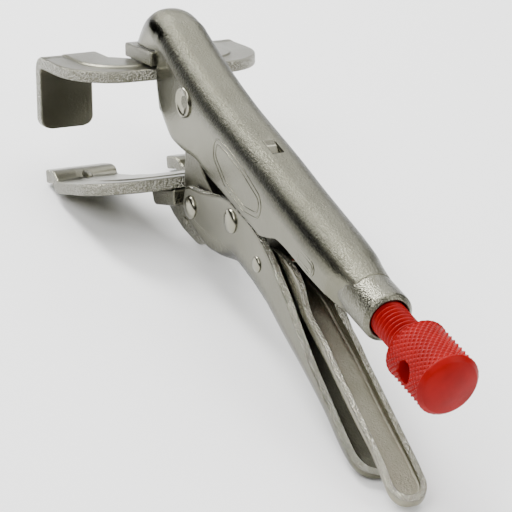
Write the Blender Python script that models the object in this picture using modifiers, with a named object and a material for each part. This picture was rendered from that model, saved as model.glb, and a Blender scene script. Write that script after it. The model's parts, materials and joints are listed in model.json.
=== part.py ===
"""Locking pliers with U-shaped fork jaws, as an assembly of separate pieces.

The model's design frame has its origin at the jaw pivot, +X forward along the adjusting screw
towards the jaws, +Y left and +Z up. Lengths below are in millimetres and scaled by MM. At the end
the whole assembly is shifted so that the origin lies at the bottom centre of its bounding box.
"""

import math

import bmesh
import bpy
import numpy as np
from mathutils import Matrix, Vector

MM = 0.001
GAP = 0.3  # clearance between touching pieces

# Driving dimensions, in millimetres
BODY_HALF_WIDTH = 8.2
SHEET = 2.3  # thickness of the pressed sheet of both handles
TANG_HALF = 5.4  # half thickness of the jaw tang between the sheets
BLOCK_HALF = 9.5  # half width of the jaw blocks, proud of the sheets
PLATE = 4.0  # thickness of the fork plates
FORK_HALF = 31.5  # half width over the fork's arms
SCREW_AXIS_Z = -4.9
SCREW_RADIUS = 5.0
SCREW_PITCH = 1.5
KNOB_RADIUS = 8.75
KNOB_FRONT, KNOB_BACK = -127.0, -146.0
SCREW_TIP = -76.8
COLLAR_RADIUS = 7.0
COLLAR_MOUTH = -114.0

JAW_PIVOT = (0.0, 0.0)  # x, z of the rivets
HANDLE_PIVOT = (-12.0, -27.9)
LINK_PIVOT = (-37.5, -18.1)
LEVER_PIVOT = (-55.7, -21.5)
LINK_END = (-71.0, -5.3)

UPPER_PITCH = 16.5  # downward pitch of the upper and the lower fork, in degrees
LOWER_PITCH = 27.0

STEEL = (0.62, 0.61, 0.57)
RED = (0.62, 0.035, 0.035)


def clear_scene():
    for obj in list(bpy.data.objects):
        bpy.data.objects.remove(obj)


clear_scene()
PARTS = bpy.data.collections.new("locking_pliers")
CUTTERS = bpy.data.collections.new("cutters")
for collection in (PARTS, CUTTERS):
    bpy.context.scene.collection.children.link(collection)


def material(name, colour, roughness, metallic):
    made = bpy.data.materials.new(name)
    made.use_nodes = True
    shader = made.node_tree.nodes["Principled BSDF"]
    shader.inputs["Base Color"].default_value = (*colour, 1.0)
    shader.inputs["Roughness"].default_value = roughness
    shader.inputs["Metallic"].default_value = metallic
    return made


def add_mesh(name, mesh, collection=PARTS):
    obj = bpy.data.objects.new(name, mesh)
    collection.objects.link(obj)
    return obj


def as_cutter(obj):
    obj.hide_render = True
    obj.display_type = "WIRE"
    for collection in list(obj.users_collection):
        collection.objects.unlink(obj)
    CUTTERS.objects.link(obj)
    return obj


def boolean(obj, other, operation):
    """Applies one Boolean with another object and keeps the result as the object's own mesh."""
    modifier = obj.modifiers.new(operation.lower(), "BOOLEAN")
    modifier.operation = operation
    modifier.object = other
    modifier.solver = "EXACT"
    bake(obj)
    bpy.data.objects.remove(other)
    return obj


def bake(obj):
    graph = bpy.context.evaluated_depsgraph_get()
    graph.update()
    mesh = bpy.data.meshes.new_from_object(obj.evaluated_get(graph))
    obj.modifiers.clear()
    obj.data = mesh


def cut(obj, other):
    return boolean(obj, as_cutter(other), "DIFFERENCE")


def join(obj, other):
    return boolean(obj, as_cutter(other), "UNION")


def filleted(corners, steps=6):
    """Turns (u, v, radius) corners of a closed outline into points, with an arc at each round corner.

    A radius too large for its edges is reduced until the neighbouring arcs no longer meet.
    """
    points = []
    count = len(corners)
    for i, (u, v, radius) in enumerate(corners):
        here = np.array([u, v], float)
        if radius <= 0:
            points.append(tuple(here))
            continue
        before = np.array(corners[i - 1][:2], float) - here
        after = np.array(corners[(i + 1) % count][:2], float) - here
        room = 0.48 * min(np.linalg.norm(before), np.linalg.norm(after))
        d0, d1 = before / np.linalg.norm(before), after / np.linalg.norm(after)
        half = math.acos(float(np.clip(d0 @ d1, -1, 1))) / 2
        reach = min(radius / math.tan(half), room)
        radius = reach * math.tan(half)
        centre = here + (d0 + d1) / np.linalg.norm(d0 + d1) * radius / math.sin(half)
        start, end = here + d0 * reach - centre, here + d1 * reach - centre
        sweep = math.atan2(start[0] * end[1] - start[1] * end[0], float(start @ end))
        count_here = max(1, round(steps * abs(sweep) / (math.pi / 2)))
        for k in range(count_here + 1):
            a = sweep * k / count_here
            turn = np.array([[math.cos(a), -math.sin(a)], [math.sin(a), math.cos(a)]])
            points.append(tuple(centre + turn @ start))
    return points


def curve_mesh(name, outline, thickness):
    """A flat filled outline in its own XY plane, thickened along its Z, as a welded mesh."""
    curve = bpy.data.curves.new(name, "CURVE")
    curve.dimensions = "2D"
    curve.fill_mode = "BOTH"
    curve.extrude = thickness * MM / 2
    spline = curve.splines.new("POLY")
    spline.points.add(len(outline) - 1)
    for point, (u, v) in zip(spline.points, outline):
        point.co = (u * MM, v * MM, 0, 1)
    spline.use_cyclic_u = True
    source = bpy.data.objects.new(name + "_outline", curve)
    bpy.context.scene.collection.objects.link(source)
    graph = bpy.context.evaluated_depsgraph_get()
    graph.update()
    mesh = bpy.data.meshes.new_from_object(source.evaluated_get(graph))
    bpy.data.objects.remove(source)
    shape = bmesh.new()
    shape.from_mesh(mesh)
    bmesh.ops.remove_doubles(shape, verts=shape.verts, dist=1e-6)
    bmesh.ops.recalc_face_normals(shape, faces=shape.faces)
    shape.to_mesh(mesh)
    shape.free()
    return mesh


def map_points(mesh, function):
    """Moves every vertex by a function of an N x 3 array in millimetres."""
    points = np.empty(len(mesh.vertices) * 3)
    mesh.vertices.foreach_get("co", points)
    moved = function(points.reshape(-1, 3) / MM) * MM
    mesh.vertices.foreach_set("co", moved.ravel())
    mesh.update()


def side_plate(name, corners, half_width, collection=PARTS):
    """A plate whose outline is drawn in the XZ plane, centred on Y = 0."""
    mesh = curve_mesh(name, filleted(corners), 2 * half_width)
    map_points(mesh, lambda p: np.stack([p[:, 0], -p[:, 2], p[:, 1]], 1))
    return add_mesh(name, mesh, collection)


def jaw_frame(pitch):
    """Maps jaw coordinates (forward F, left Y, up U), pitched down about the jaw pivot, to X, Y, Z."""
    c, s = math.cos(math.radians(pitch)), math.sin(math.radians(pitch))

    def place(p):
        return np.stack([p[:, 0] * c + p[:, 2] * s, p[:, 1], -p[:, 0] * s + p[:, 2] * c], 1)

    return place


def in_jaw(corners, pitch):
    """Corners given as (F, U, radius) turned into (X, Z, radius)."""
    place = jaw_frame(pitch)
    flat = np.array([(f, 0.0, u) for f, u, _ in corners])
    return [(x, z, r) for (x, _, z), (_, _, r) in zip(place(flat), corners)]


def box(name, low, high, place=None):
    bpy.ops.mesh.primitive_cube_add(size=1)
    obj = bpy.context.object
    obj.name = name
    low, high = np.array(low, float), np.array(high, float)
    map_points(obj.data, lambda p: p * MM * (high - low) + (high + low) / 2)
    if place:
        map_points(obj.data, place)
    return obj


def pin(name, radius, half_length, at, vertices=28):
    """A cylinder along Y through the XZ point."""
    bpy.ops.mesh.primitive_cylinder_add(
        vertices=vertices, radius=radius * MM, depth=2 * half_length * MM
    )
    obj = bpy.context.object
    obj.name = name
    map_points(obj.data, lambda p: np.stack([p[:, 0] + at[0], p[:, 2], p[:, 1] + at[1]], 1))
    flip_faces(obj.data)
    return obj


def flip_faces(mesh):
    shape = bmesh.new()
    shape.from_mesh(mesh)
    bmesh.ops.recalc_face_normals(shape, faces=shape.faces)
    shape.to_mesh(mesh)
    shape.free()


def turned(name, profile, axis_z=0.0, steps=32):
    """Turns (x, radius) points, listed along the axis, about a line parallel to X at height axis_z."""
    mesh = bpy.data.meshes.new(name)
    points = [(r * MM, 0, x * MM) for x, r in profile]
    mesh.from_pydata(points, [(i, i + 1) for i in range(len(points) - 1)], [])
    obj = add_mesh(name, mesh)
    screw = obj.modifiers.new("turn", "SCREW")
    screw.steps = screw.render_steps = steps
    screw.use_merge_vertices = True
    screw.merge_threshold = 0.00001
    bake(obj)
    map_points(obj.data, lambda p: np.stack([p[:, 2], p[:, 1], p[:, 0] + axis_z], 1))
    flip_faces(obj.data)
    return obj


def rivet(name, at, shank, head, rise, reach=BODY_HALF_WIDTH):
    """A rivet along Y: a shank and a low domed head on each side, proud of the sheets."""
    seat = reach + GAP
    profile = [(-seat - rise, 0.0), (-seat - rise * 0.9, head * 0.45), (-seat - rise * 0.45, head * 0.85)]
    profile += [(-seat, head), (-seat, shank)]
    profile += [(-x, r) for x, r in reversed(profile)]
    obj = turned(name, profile, steps=28)
    map_points(obj.data, lambda p: np.stack([p[:, 1] + at[0], p[:, 0], p[:, 2] + at[1]], 1))
    flip_faces(obj.data)
    return obj


def channel(name, stations, up, bends=6, half_gap=None):
    """Lofts a solid whose cross-section is a flat-sided bar with one rounded side.

    Each station is (x, z of the round side, z of the open side, half width, corner radius). up is
    +1 when the round side faces up. The sections are capped at both ends.
    """
    rows = []
    for x, z_round, z_open, half, radius in stations:
        radius = min(radius, half * 0.98, abs(z_round - z_open) * 0.98)
        row = [(x, half, z_open)]
        for k in range(bends + 1):
            a = math.pi / 2 * k / bends
            y = half - radius + radius * math.cos(a)
            row.append((x, y, z_round - up * radius * (1 - math.sin(a))))
        row += [(x, -y, z) for x, y, z in reversed(row)]
        rows.append(row)
    width = len(rows[0])
    points = [np.array(p) * MM for row in rows for p in row]
    faces = []
    for i in range(len(rows) - 1):
        for k in range(width):
            n = (k + 1) % width
            faces.append((i * width + k, i * width + n, (i + 1) * width + n, (i + 1) * width + k))
    faces.append(tuple(range(width)))
    last = (len(rows) - 1) * width
    faces.append(tuple(last + k for k in range(width)))
    mesh = bpy.data.meshes.new(name)
    mesh.from_pydata(points, [], faces)
    flip_faces(mesh)
    return add_mesh(name, mesh)


def line(points):
    """A function of x that follows a polyline of (x, z) points."""
    xs, zs = zip(*sorted(points))
    return lambda x: float(np.interp(x, xs, zs))


# ---------------------------------------------------------------- upper handle

BACK = line([(-104, 2.1), (-98, 3.0), (-93, 3.8), (-78, 4.5), (-60, 5.3), (-47, 6.2), (-33, 6.7),
             (-19, 7.3), (-6, 8.6), (4, 10.2), (12, 11.7), (19, 13.2), (24, 14.3), (29, 14.6),
             (33, 13.2), (36, 10.4), (38.2, 6.4), (39.2, 2.6)])
LOWER_EDGE = line([(-104, -10.5), (-98, -9.6), (-93.8, -8.6), (-83.8, -8.3), (-70.6, -8.0),
                   (-65.3, -8.3), (-59, -11.5), (-54, -12.7), (-23, -12.7), (-12, -12.3),
                   (-2.7, -13.8), (4.5, -14.3), (12, -11.4), (17.0, -7.8), (19.6, -2.8),
                   (21.2, 5.4), (22.4, 5.5), (39.2, 0.3)])
BODY_WIDTH = line([(-104, 6.95), (-98, 7.3), (-90, 8.0), (-80, BODY_HALF_WIDTH), (30, BODY_HALF_WIDTH),
                   (35, 7.6), (38.2, 6.4), (39.2, 5.4)])
BODY_ROUND = 7.2
BODY_STATIONS = (-104, -98, -93.8, -83.8, -70.6, -65.3, -62, -59, -54, -42, -33, -23, -12, -2.7, 4.5,
                 12, 17.0, 19.6, 21.2, 22.4, 26, 29, 31.5, 33, 35, 36.5, 38.2, 39.2)
SPRING_LUG_X = -41.0


def upper_handle():
    outer = [(x, BACK(x), LOWER_EDGE(x), BODY_WIDTH(x), BODY_ROUND) for x in BODY_STATIONS]
    obj = channel("upper_handle", outer, 1)
    inner = [(x, BACK(x) - SHEET, -30.0, max(BODY_WIDTH(x) - SHEET, SCREW_RADIUS + 0.6), 3.0)
             for x in BODY_STATIONS if -100 < x < 36]
    cut(obj, channel("body_hollow", inner, 1))
    tube = turned("collar", [(COLLAR_MOUTH, 5.35), (COLLAR_MOUTH, 6.6), (COLLAR_MOUTH + 0.5, COLLAR_RADIUS),
                             (-96.0, COLLAR_RADIUS), (-96.0, 5.35), (COLLAR_MOUTH, 5.35)], SCREW_AXIS_Z)
    bore = turned("collar_bore", [(-110, 0), (-110, 5.35), (-90.0, 5.35), (-90.0, 0)], SCREW_AXIS_Z)
    cut(obj, bore)
    join(obj, tube)
    cut(obj, pin("jaw_pivot_hole", 3.2 + GAP, 12, JAW_PIVOT))
    cut(obj, box("lug_window", (SPRING_LUG_X - 3.4, -1.5, 0.0), (SPRING_LUG_X, 1.5, 12.0)))
    lug = box("spring_lug", (SPRING_LUG_X - 0.6, -1.4, -1.0), (SPRING_LUG_X + 0.9, 1.4, 4.8))
    return join(obj, lug)


# ------------------------------------------------------------------ upper jaw

UPPER_TOP = 6.7  # height of the plate's upper face above the jaw pivot, along U
UPPER_REAR, UPPER_FRONT = 20.4, 58.0
TAB_DEPTH = 22.7  # height of the turned-down pad, over the plate


def fork_plate(name, rear, root, front, inner, half, sweep, corner):
    """A U-shaped plate: rear edge at F = rear, slot from F = root forward between Y = -inner and inner.

    sweep carries the outer rear corners forward of the middle of the rear edge.
    """
    side = [(rear, 0, 0), (rear, TANG_HALF + 4, 0), (rear + sweep, half, corner)]
    side += [(front, half, 3.5), (front, inner, 2.0), (root, inner - 0.5, 5.0), (root, 0, 0)]
    mirrored = [(f, -y, r) for f, y, r in reversed(side[1:-1])]
    outline = filleted([side[0], *side[1:], *mirrored], 6)
    return curve_mesh(name, outline, PLATE)


def upper_jaw_fork():
    mesh = fork_plate("upper_jaw_fork", UPPER_REAR, 36.5, UPPER_FRONT, 13.5, FORK_HALF, 4.0, 12.0)
    map_points(mesh, lambda p: p + (0, 0, UPPER_TOP - PLATE / 2))
    obj = add_mesh("upper_jaw_fork", mesh)
    for side in (-1, 1):
        low, high = sorted((side * (FORK_HALF + 0.0), side * 14.5))
        corners = [(low, UPPER_TOP - 1.0, 0), (low, UPPER_TOP - TAB_DEPTH, 3.0),
                   (high, UPPER_TOP - TAB_DEPTH, 3.0), (high, UPPER_TOP - 1.0, 0)]
        pad = curve_mesh("pad", filleted(corners), PLATE)
        map_points(pad, lambda p: np.stack([UPPER_FRONT - PLATE / 2 + p[:, 2], p[:, 0], p[:, 1]], 1))
        flip_faces(pad)
        join(obj, add_mesh("pad", pad))
    map_points(obj.data, jaw_frame(UPPER_PITCH))
    return obj


def upper_jaw_block():
    """The welded block over the fork with a tongue that fills the nose of the upper handle."""
    obj = side_plate("upper_jaw_block", in_jaw([(20.4, 7.0, 0.5), (40.0, 7.0, 0.5), (40.0, 11.0, 0.5),
                                                (20.4, 11.0, 0.5)], UPPER_PITCH), BLOCK_HALF)
    tongue = [(24.4, 2.0, 0), (33.8, -0.8, 0), (33.8, 6.2, 1.5), (30.0, 8.4, 1.5), (24.4, 8.4, 1.5)]
    return join(obj, side_plate("tongue", tongue, TANG_HALF - 0.5))


def jaw_throat_web():
    """The upright web under the fork's root, between the sheets of the upper handle."""
    corners = [(10.5, 2.3, 1), (26.6, 2.3, 1), (26.4, 0.6, 1), (24.6, -6.9, 1), (21.0, -8.6, 1), (11.5, -6.0, 1)]
    return side_plate("jaw_throat_web", in_jaw(corners, UPPER_PITCH), TANG_HALF)


# ------------------------------------------------------------------ lower jaw

LOWER_TOP = -21.4
LOWER_REAR, LOWER_FRONT = 11.9, 61.0
LIP_RISE = 2.8
LIP_START = 54.5


def lower_jaw():
    """The forged tang: eye at the jaw pivot, lobe round the handle pivot, and the block under the fork."""
    corners = [(-5.1, 5.1, 5), (5.1, 5.1, 5), (6.0, -12, 5), (2.0, -18, 5), (1.2, -23.2, 0), (10.4, -27.8, 0),
               (9.6, -36.6, 4), (-2, -40.6, 7), (-14, -40.0, 8), (-25.2, -33.0, 5), (-23.6, -21.5, 4),
               (-13.0, -17.8, 5), (-6.6, -14.2, 4), (-5.9, -5.0, 4)]
    obj = side_plate("lower_jaw", corners, TANG_HALF)
    block = in_jaw([(10.6, LOWER_TOP - PLATE - 4.6, 1.0), (26.5, LOWER_TOP - PLATE - 4.6, 1.5),
                    (27.5, LOWER_TOP - PLATE - GAP, 0.5), (10.6, LOWER_TOP - PLATE - GAP, 0.3)], LOWER_PITCH)
    join(obj, side_plate("block", block, BLOCK_HALF))
    cut(obj, box("fork_seat", (9.0, -40, LOWER_TOP - PLATE - GAP), (40, 40, LOWER_TOP + 12),
                 jaw_frame(LOWER_PITCH)))
    join(obj, side_plate("tang_front", [(-4.5, 0, 1.5), (4.8, 0, 1.5), (5.0, -14, 3), (1.0, -18, 3),
                                        (0.2, -24.0, 0), (-8, -24.0, 0)], TANG_HALF))
    cut(obj, pin("jaw_pivot_hole", 3.2 + GAP, 12, JAW_PIVOT))
    return cut(obj, pin("handle_pivot_hole", 2.4 + GAP, 12, HANDLE_PIVOT))


def lower_jaw_fork():
    mesh = fork_plate("lower_jaw_fork", LOWER_REAR, 30.0, LIP_START, 10.5, 31.0, 8.0, 12.0)
    map_points(mesh, lambda p: p + (0, 0, LOWER_TOP - PLATE / 2))
    obj = add_mesh("lower_jaw_fork", mesh)
    for side in (-1, 1):
        low, high = sorted((side * 30.5, side * 10.0))
        lip = [(LIP_START - 4.0, LOWER_TOP - 1.5, 0), (LIP_START - 0.8, LOWER_TOP + LIP_RISE, 1.5),
               (LOWER_FRONT, LOWER_TOP + LIP_RISE, 0.8), (LOWER_FRONT, LOWER_TOP + LIP_RISE - PLATE, 0.8),
               (LIP_START + 0.5, LOWER_TOP + LIP_RISE - PLATE, 1.5), (LIP_START - 1.5, LOWER_TOP - PLATE + 0.4, 0)]
        bar = curve_mesh("lip", filleted(lip), high - low)
        middle = (high + low) / 2
        map_points(bar, lambda p: np.stack([p[:, 0], middle - p[:, 2], p[:, 1]], 1))
        flip_faces(bar)
        join(obj, add_mesh("lip", bar))
    map_points(obj.data, jaw_frame(LOWER_PITCH))
    return obj


# --------------------------------------------------------------- lower handle

HANDLE_TOP = line([(-124.8, -44.8), (-119, -43.2), (-112.8, -41.0), (-109, -39.4), (-104.3, -37.4), (-98.8, -35.1),
                   (-93.5, -32.8), (-87, -29.6), (-78, -24.0), (-70.3, -20.2), (-62.9, -16.8), (-53.3, -13.7),
                   (-48, -13.3), (-36, -13.5), (-30, -15.0), (-20, -19.2), (-12, -22.0), (-9, -22.7),
                   (-6.6, -25.0), (-5.8, -27.4)])
HANDLE_BOTTOM = line([(-124.8, -45.8), (-123.6, -46.8), (-121, -47.6), (-116, -48.0), (-111.7, -47.0),
                      (-102, -43.2), (-89.6, -39.6), (-73.9, -35.8), (-60.4, -32.4), (-49, -31.1), (-42.3, -30.9),
                      (-31.2, -32.6), (-24, -34.2), (-16, -33.8), (-10, -32.4), (-6.6, -30.2), (-5.8, -28.4)])
HANDLE_WIDTH = line([(-124.8, 2.0), (-124.2, 3.8), (-122.6, 5.9), (-120.2, 7.5), (-117, BODY_HALF_WIDTH),
                     (-5, BODY_HALF_WIDTH)])
HANDLE_STATIONS = (-124.8, -124.2, -122.6, -120.2, -117, -111.7, -104.3, -98.8, -93.5, -87, -78, -70.3,
                   -62.9, -53.3, -48, -42.3, -36, -31.2, -24, -16, -12, -9, -6.6, -5.8)
HANDLE_WEB_FRONT = -32.0  # forward of this the handle is two cheeks beside the lower jaw


def lower_handle():
    outer = [(x, HANDLE_BOTTOM(x), HANDLE_TOP(x), HANDLE_WIDTH(x), 6.5) for x in HANDLE_STATIONS]
    obj = channel("lower_handle", outer, -1)
    inner = [(x, HANDLE_BOTTOM(x) + SHEET, 5.0, HANDLE_WIDTH(x) - SHEET, 4.5)
             for x in HANDLE_STATIONS if -123 < x < -42]
    inner.append((HANDLE_WEB_FRONT - 3, HANDLE_BOTTOM(-35) + SHEET, 5.0, BODY_HALF_WIDTH - SHEET, 4.5))
    cut(obj, channel("handle_hollow", inner, -1))
    cheek = BODY_HALF_WIDTH - SHEET
    cut(obj, box("cheek_gap", (HANDLE_WEB_FRONT, -cheek, -60), (10, cheek, 5)))
    cut(obj, box("front_hollow", (HANDLE_WEB_FRONT - 4, -cheek, -28.5), (HANDLE_WEB_FRONT + 1, cheek, 5)))
    for name, at, radius in (("b", HANDLE_PIVOT, 2.4), ("c", LINK_PIVOT, 2.4), ("d", LEVER_PIVOT, 1.6)):
        cut(obj, pin("hole_" + name, radius + GAP, 12, at))
    return obj


# ----------------------------------------------------- toggle link and lever

def toggle_link():
    """The rocking strut from the link rivet to the screw's tip, waisted between two round ends."""
    start, end = np.array(LINK_PIVOT), np.array(LINK_END)
    length = float(np.linalg.norm(end - start))
    along = (end - start) / length
    across = np.array([-along[1], along[0]])
    corners = [(-4.6, -4.6, 4.5), (-4.6, 4.6, 4.5), (8, 3.2, 6), (length - 8, 2.6, 6), (length + 3.0, 3.4, 3.0),
               (length + 3.0, -3.4, 3.0), (length - 8, -2.6, 6), (8, -3.2, 6)]
    placed = [(*(start + along * a + across * b), r) for a, b, r in reversed(corners)]
    obj = side_plate("toggle_link", placed, 2.8)
    return cut(obj, pin("link_hole", 2.4 + GAP, 12, LINK_PIVOT))


LEVER_TOP = line([(-139.6, -44.0), (-134.0, -41.4), (-129.5, -39.3), (-124, -37.2), (-119, -35.5), (-112.5, -33.2),
                  (-106, -30.9), (-98.8, -28.4), (-92.9, -26.0), (-86.5, -24.1), (-82.7, -23.2), (-79.8, -21.6),
                  (-77.5, -19.3), (-75.5, -17.0), (-72.5, -15.7), (-67.0, -14.9), (-60, -15.6), (-54, -17.4),
                  (-50.8, -19.6)])
LEVER_BOTTOM = line([(-139.6, -45.4), (-138.5, -46.0), (-134, -44.4), (-127.5, -41.6), (-122.5, -39.9), (-117, -38.3),
                     (-110, -36.1), (-103.6, -33.8), (-95, -30.9), (-87, -28.8), (-81, -27.2), (-75.8, -25.8),
                     (-71, -25.2), (-60, -25.4), (-54, -25.2), (-50.8, -23.0)])
LEVER_WIDTH = line([(-139.6, 1.6), (-139.0, 3.2), (-137.4, 4.8), (-134.5, 5.7), (-128, 5.4), (-50, 5.4)])
LEVER_STATIONS = (-139.6, -139.0, -137.4, -134.5, -129.5, -124, -119, -112.5, -106, -98.8, -92.9, -86.5, -82.7,
                  -79.8, -77.5, -75.5, -72.5, -67, -60, -54, -50.8)
LEVER_SHEET = 1.9


def release_lever():
    outer = [(x, LEVER_BOTTOM(x), LEVER_TOP(x), LEVER_WIDTH(x), 4.0) for x in LEVER_STATIONS]
    obj = channel("release_lever", outer, -1, 4)
    inner = [(x, LEVER_BOTTOM(x) + LEVER_SHEET, 0.0, LEVER_WIDTH(x) - LEVER_SHEET, 3.0)
             for x in LEVER_STATIONS if -138 < x < -62]
    cut(obj, channel("lever_hollow", inner, -1, 4))
    cheek = LEVER_WIDTH(-60) - LEVER_SHEET
    cut(obj, box("lever_cheeks", (-63.0, -cheek, -40), (-40, cheek, 5)))
    return cut(obj, pin("lever_hole", 1.6 + GAP, 12, LEVER_PIVOT))


# ------------------------------------------------------------ adjusting screw

def adjusting_screw():
    """A threaded rod: rings of root and crest at the real pitch stand for the helix."""
    root = SCREW_RADIUS - 0.85
    profile = [(KNOB_FRONT + 0.3, 0.0), (KNOB_FRONT + 0.3, root)]
    x = KNOB_FRONT + 1.2
    while x < -104:
        profile += [(x, root), (x + SCREW_PITCH * 0.4, SCREW_RADIUS), (x + SCREW_PITCH * 0.55, SCREW_RADIUS)]
        x += SCREW_PITCH
    profile += [(-103.5, root), (-103.0, SCREW_RADIUS), (SCREW_TIP - 1.2, SCREW_RADIUS),
                (SCREW_TIP, SCREW_RADIUS - 1.2), (SCREW_TIP, 0.0)]
    return turned("adjusting_screw", profile, SCREW_AXIS_Z, 20)


def screw_knob():
    """A chamfered cylinder with a cross hole for a tommy bar."""
    r = KNOB_RADIUS
    profile = [(KNOB_BACK, 0.0), (KNOB_BACK, r - 0.9), (KNOB_BACK + 0.9, r), (KNOB_FRONT - 1.6, r),
               (KNOB_FRONT, r - 1.8), (KNOB_FRONT, 0.0)]
    obj = turned("screw_knob", profile, SCREW_AXIS_Z, 40)
    return cut(obj, pin("tommy_hole", 3.0, 15, (-136.8, SCREW_AXIS_Z)))


def tension_spring():
    """A close coil between the tang's rear and the lug in the upper handle, as one round wire."""
    front, rear, radius, turns, z = -14.0, SPRING_LUG_X + 4.5, 2.3, 9, -0.6
    points = [(front + 2.8, 0, z), (front + 1.2, 0, z + radius * 0.5)]
    for k in range(turns * 10 + 1):
        a = 2 * math.pi * k / 10
        x = front + (rear - front) * k / (turns * 10)
        points.append((x, radius * math.sin(a), z + radius * math.cos(a)))
    points += [(rear - 1.2, 0, z + radius * 0.5), (rear - 2.8, 0, z)]
    curve = bpy.data.curves.new("tension_spring", "CURVE")
    curve.dimensions = "3D"
    curve.bevel_depth = 0.45 * MM
    curve.bevel_resolution = 1
    curve.use_fill_caps = True
    spline = curve.splines.new("POLY")
    spline.points.add(len(points) - 1)
    for point, (x, y, z_at) in zip(spline.points, points):
        point.co = (x * MM, y * MM, z_at * MM, 1)
    obj = bpy.data.objects.new("tension_spring", curve)
    PARTS.objects.link(obj)
    return obj


# ------------------------------------------------------------------- assembly

HINGE_LINES = {
    "lower_handle": HANDLE_PIVOT, "link_rivet": HANDLE_PIVOT, "release_lever_rivet": HANDLE_PIVOT,
    "toggle_link": LINK_PIVOT, "release_lever": LEVER_PIVOT,
    "adjusting_screw": (SCREW_TIP, SCREW_AXIS_Z), "screw_knob": (KNOB_FRONT, SCREW_AXIS_Z),
}


def assemble():
    satin = material("satin_nickel", STEEL, 0.34, 1.0)
    plated = material("bright_nickel", (0.70, 0.69, 0.66), 0.24, 1.0)
    wire = material("spring_wire", (0.35, 0.35, 0.36), 0.3, 1.0)
    red = material("red_coating", RED, 0.38, 0.0)
    makers = (
        (upper_handle, satin), (upper_jaw_block, satin), (jaw_throat_web, satin), (upper_jaw_fork, satin),
        (lower_jaw, satin), (lower_jaw_fork, satin), (lower_handle, satin), (toggle_link, satin),
        (release_lever, satin), (adjusting_screw, red), (screw_knob, red), (tension_spring, wire),
    )
    made = []
    for maker, finish in makers:
        obj = maker()
        obj.data.materials.clear()
        obj.data.materials.append(finish)
        made.append(obj)
    rivets = (
        ("jaw_pivot_rivet", JAW_PIVOT, 3.2, 4.5, 0.8, BODY_HALF_WIDTH),
        ("handle_pivot_rivet", HANDLE_PIVOT, 2.4, 3.4, 1.4, BODY_HALF_WIDTH),
        ("link_rivet", LINK_PIVOT, 2.4, 3.5, 1.4, BODY_HALF_WIDTH),
        ("release_lever_rivet", LEVER_PIVOT, 1.6, 2.3, 0.9, BODY_HALF_WIDTH),
    )
    for name, at, shank, head, rise, reach in rivets:
        obj = rivet(name, at, shank, head, rise, reach)
        obj.data.materials.append(plated)
        made.append(obj)
    for obj in made:
        set_origin(obj, *HINGE_LINES.get(obj.name, JAW_PIVOT))
    return made


def set_origin(obj, x, z):
    """Puts an object's origin on the hinge line through x, z without moving its shape."""
    obj.data.transform(Matrix.Translation((-x * MM, 0, -z * MM)))
    obj.location = (x * MM, 0, z * MM)


def stand_on_origin(objects):
    """Shifts every piece so that the origin is the bottom centre of the whole bounding box."""
    bpy.context.view_layer.update()
    graph = bpy.context.evaluated_depsgraph_get()
    low, high = np.full(3, np.inf), np.full(3, -np.inf)
    for obj in objects:
        evaluated = obj.evaluated_get(graph)
        mesh = evaluated.to_mesh()
        points = np.empty(len(mesh.vertices) * 3)
        mesh.vertices.foreach_get("co", points)
        points = points.reshape(-1, 3) + np.array(obj.location)
        low, high = np.minimum(low, points.min(0)), np.maximum(high, points.max(0))
        evaluated.to_mesh_clear()
    shift = -np.array([(low[0] + high[0]) / 2, (low[1] + high[1]) / 2, low[2]])
    for obj in objects:
        obj.location += Vector(shift)
    print("origin shift in mm:", np.round(shift * 1000, 4).tolist())


stand_on_origin(assemble())
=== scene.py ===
# %% [markdown]
# # Locking pliers with fork jaws
#
# The tool is pressed, forged and turned steel under a satin nickel plating, with one red screw. Every
# cell below makes one piece or one finish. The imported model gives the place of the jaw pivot, and all
# shapes are drawn from there in millimetres: X runs forward along the screw, Y to the left, Z up.

import json
import math

import bmesh
import bpy
import numpy as np
from mathutils import Matrix


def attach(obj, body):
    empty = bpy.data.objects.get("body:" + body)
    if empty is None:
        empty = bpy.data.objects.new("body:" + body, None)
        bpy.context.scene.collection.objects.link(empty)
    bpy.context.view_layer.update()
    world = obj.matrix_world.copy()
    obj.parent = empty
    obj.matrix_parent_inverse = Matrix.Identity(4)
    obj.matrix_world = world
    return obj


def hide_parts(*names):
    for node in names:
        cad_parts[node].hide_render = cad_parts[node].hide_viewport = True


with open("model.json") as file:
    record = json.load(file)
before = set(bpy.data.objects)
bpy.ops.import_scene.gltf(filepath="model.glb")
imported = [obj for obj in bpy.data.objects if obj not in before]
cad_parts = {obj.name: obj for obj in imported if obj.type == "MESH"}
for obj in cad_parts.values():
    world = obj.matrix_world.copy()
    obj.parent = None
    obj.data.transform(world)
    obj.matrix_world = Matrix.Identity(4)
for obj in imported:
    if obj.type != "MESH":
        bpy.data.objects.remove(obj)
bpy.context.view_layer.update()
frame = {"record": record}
MM = 0.001
JOINTS = {joint["name"]: joint for joint in frame["record"]["behaviour"]["joints"]}
ORIGIN = np.array(JOINTS["jaw_pivot"]["pos_m"]) / MM


def pivot(joint):
    """X and Z of a hinge line, in millimetres from the jaw pivot."""
    place = np.array(JOINTS[joint]["pos_m"]) / MM - ORIGIN
    return float(place[0]), float(place[2])


print("jaw pivot stands at", ORIGIN.round(2).tolist(), "mm")

# %% [markdown]
# ## Helpers for surfaces
#
# A surface is a grid of points, worked out as whole arrays and put into a mesh in one go. The grid
# closes on itself round the section, its ends are capped, and rows that shrink to a point are merged,
# so each piece comes out as one closed skin whose faces can be turned outwards.

# %% Grids, meshes and smooth lines
def grid_faces(rows, columns):
    """Quads between neighbouring rows of a grid whose columns close into a ring."""
    index = np.arange(rows * columns).reshape(rows, columns)
    following = np.roll(index, -1, axis=1)
    return np.stack([index[:-1], following[:-1], following[1:], index[1:]], -1).reshape(-1, 4).tolist()


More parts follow.
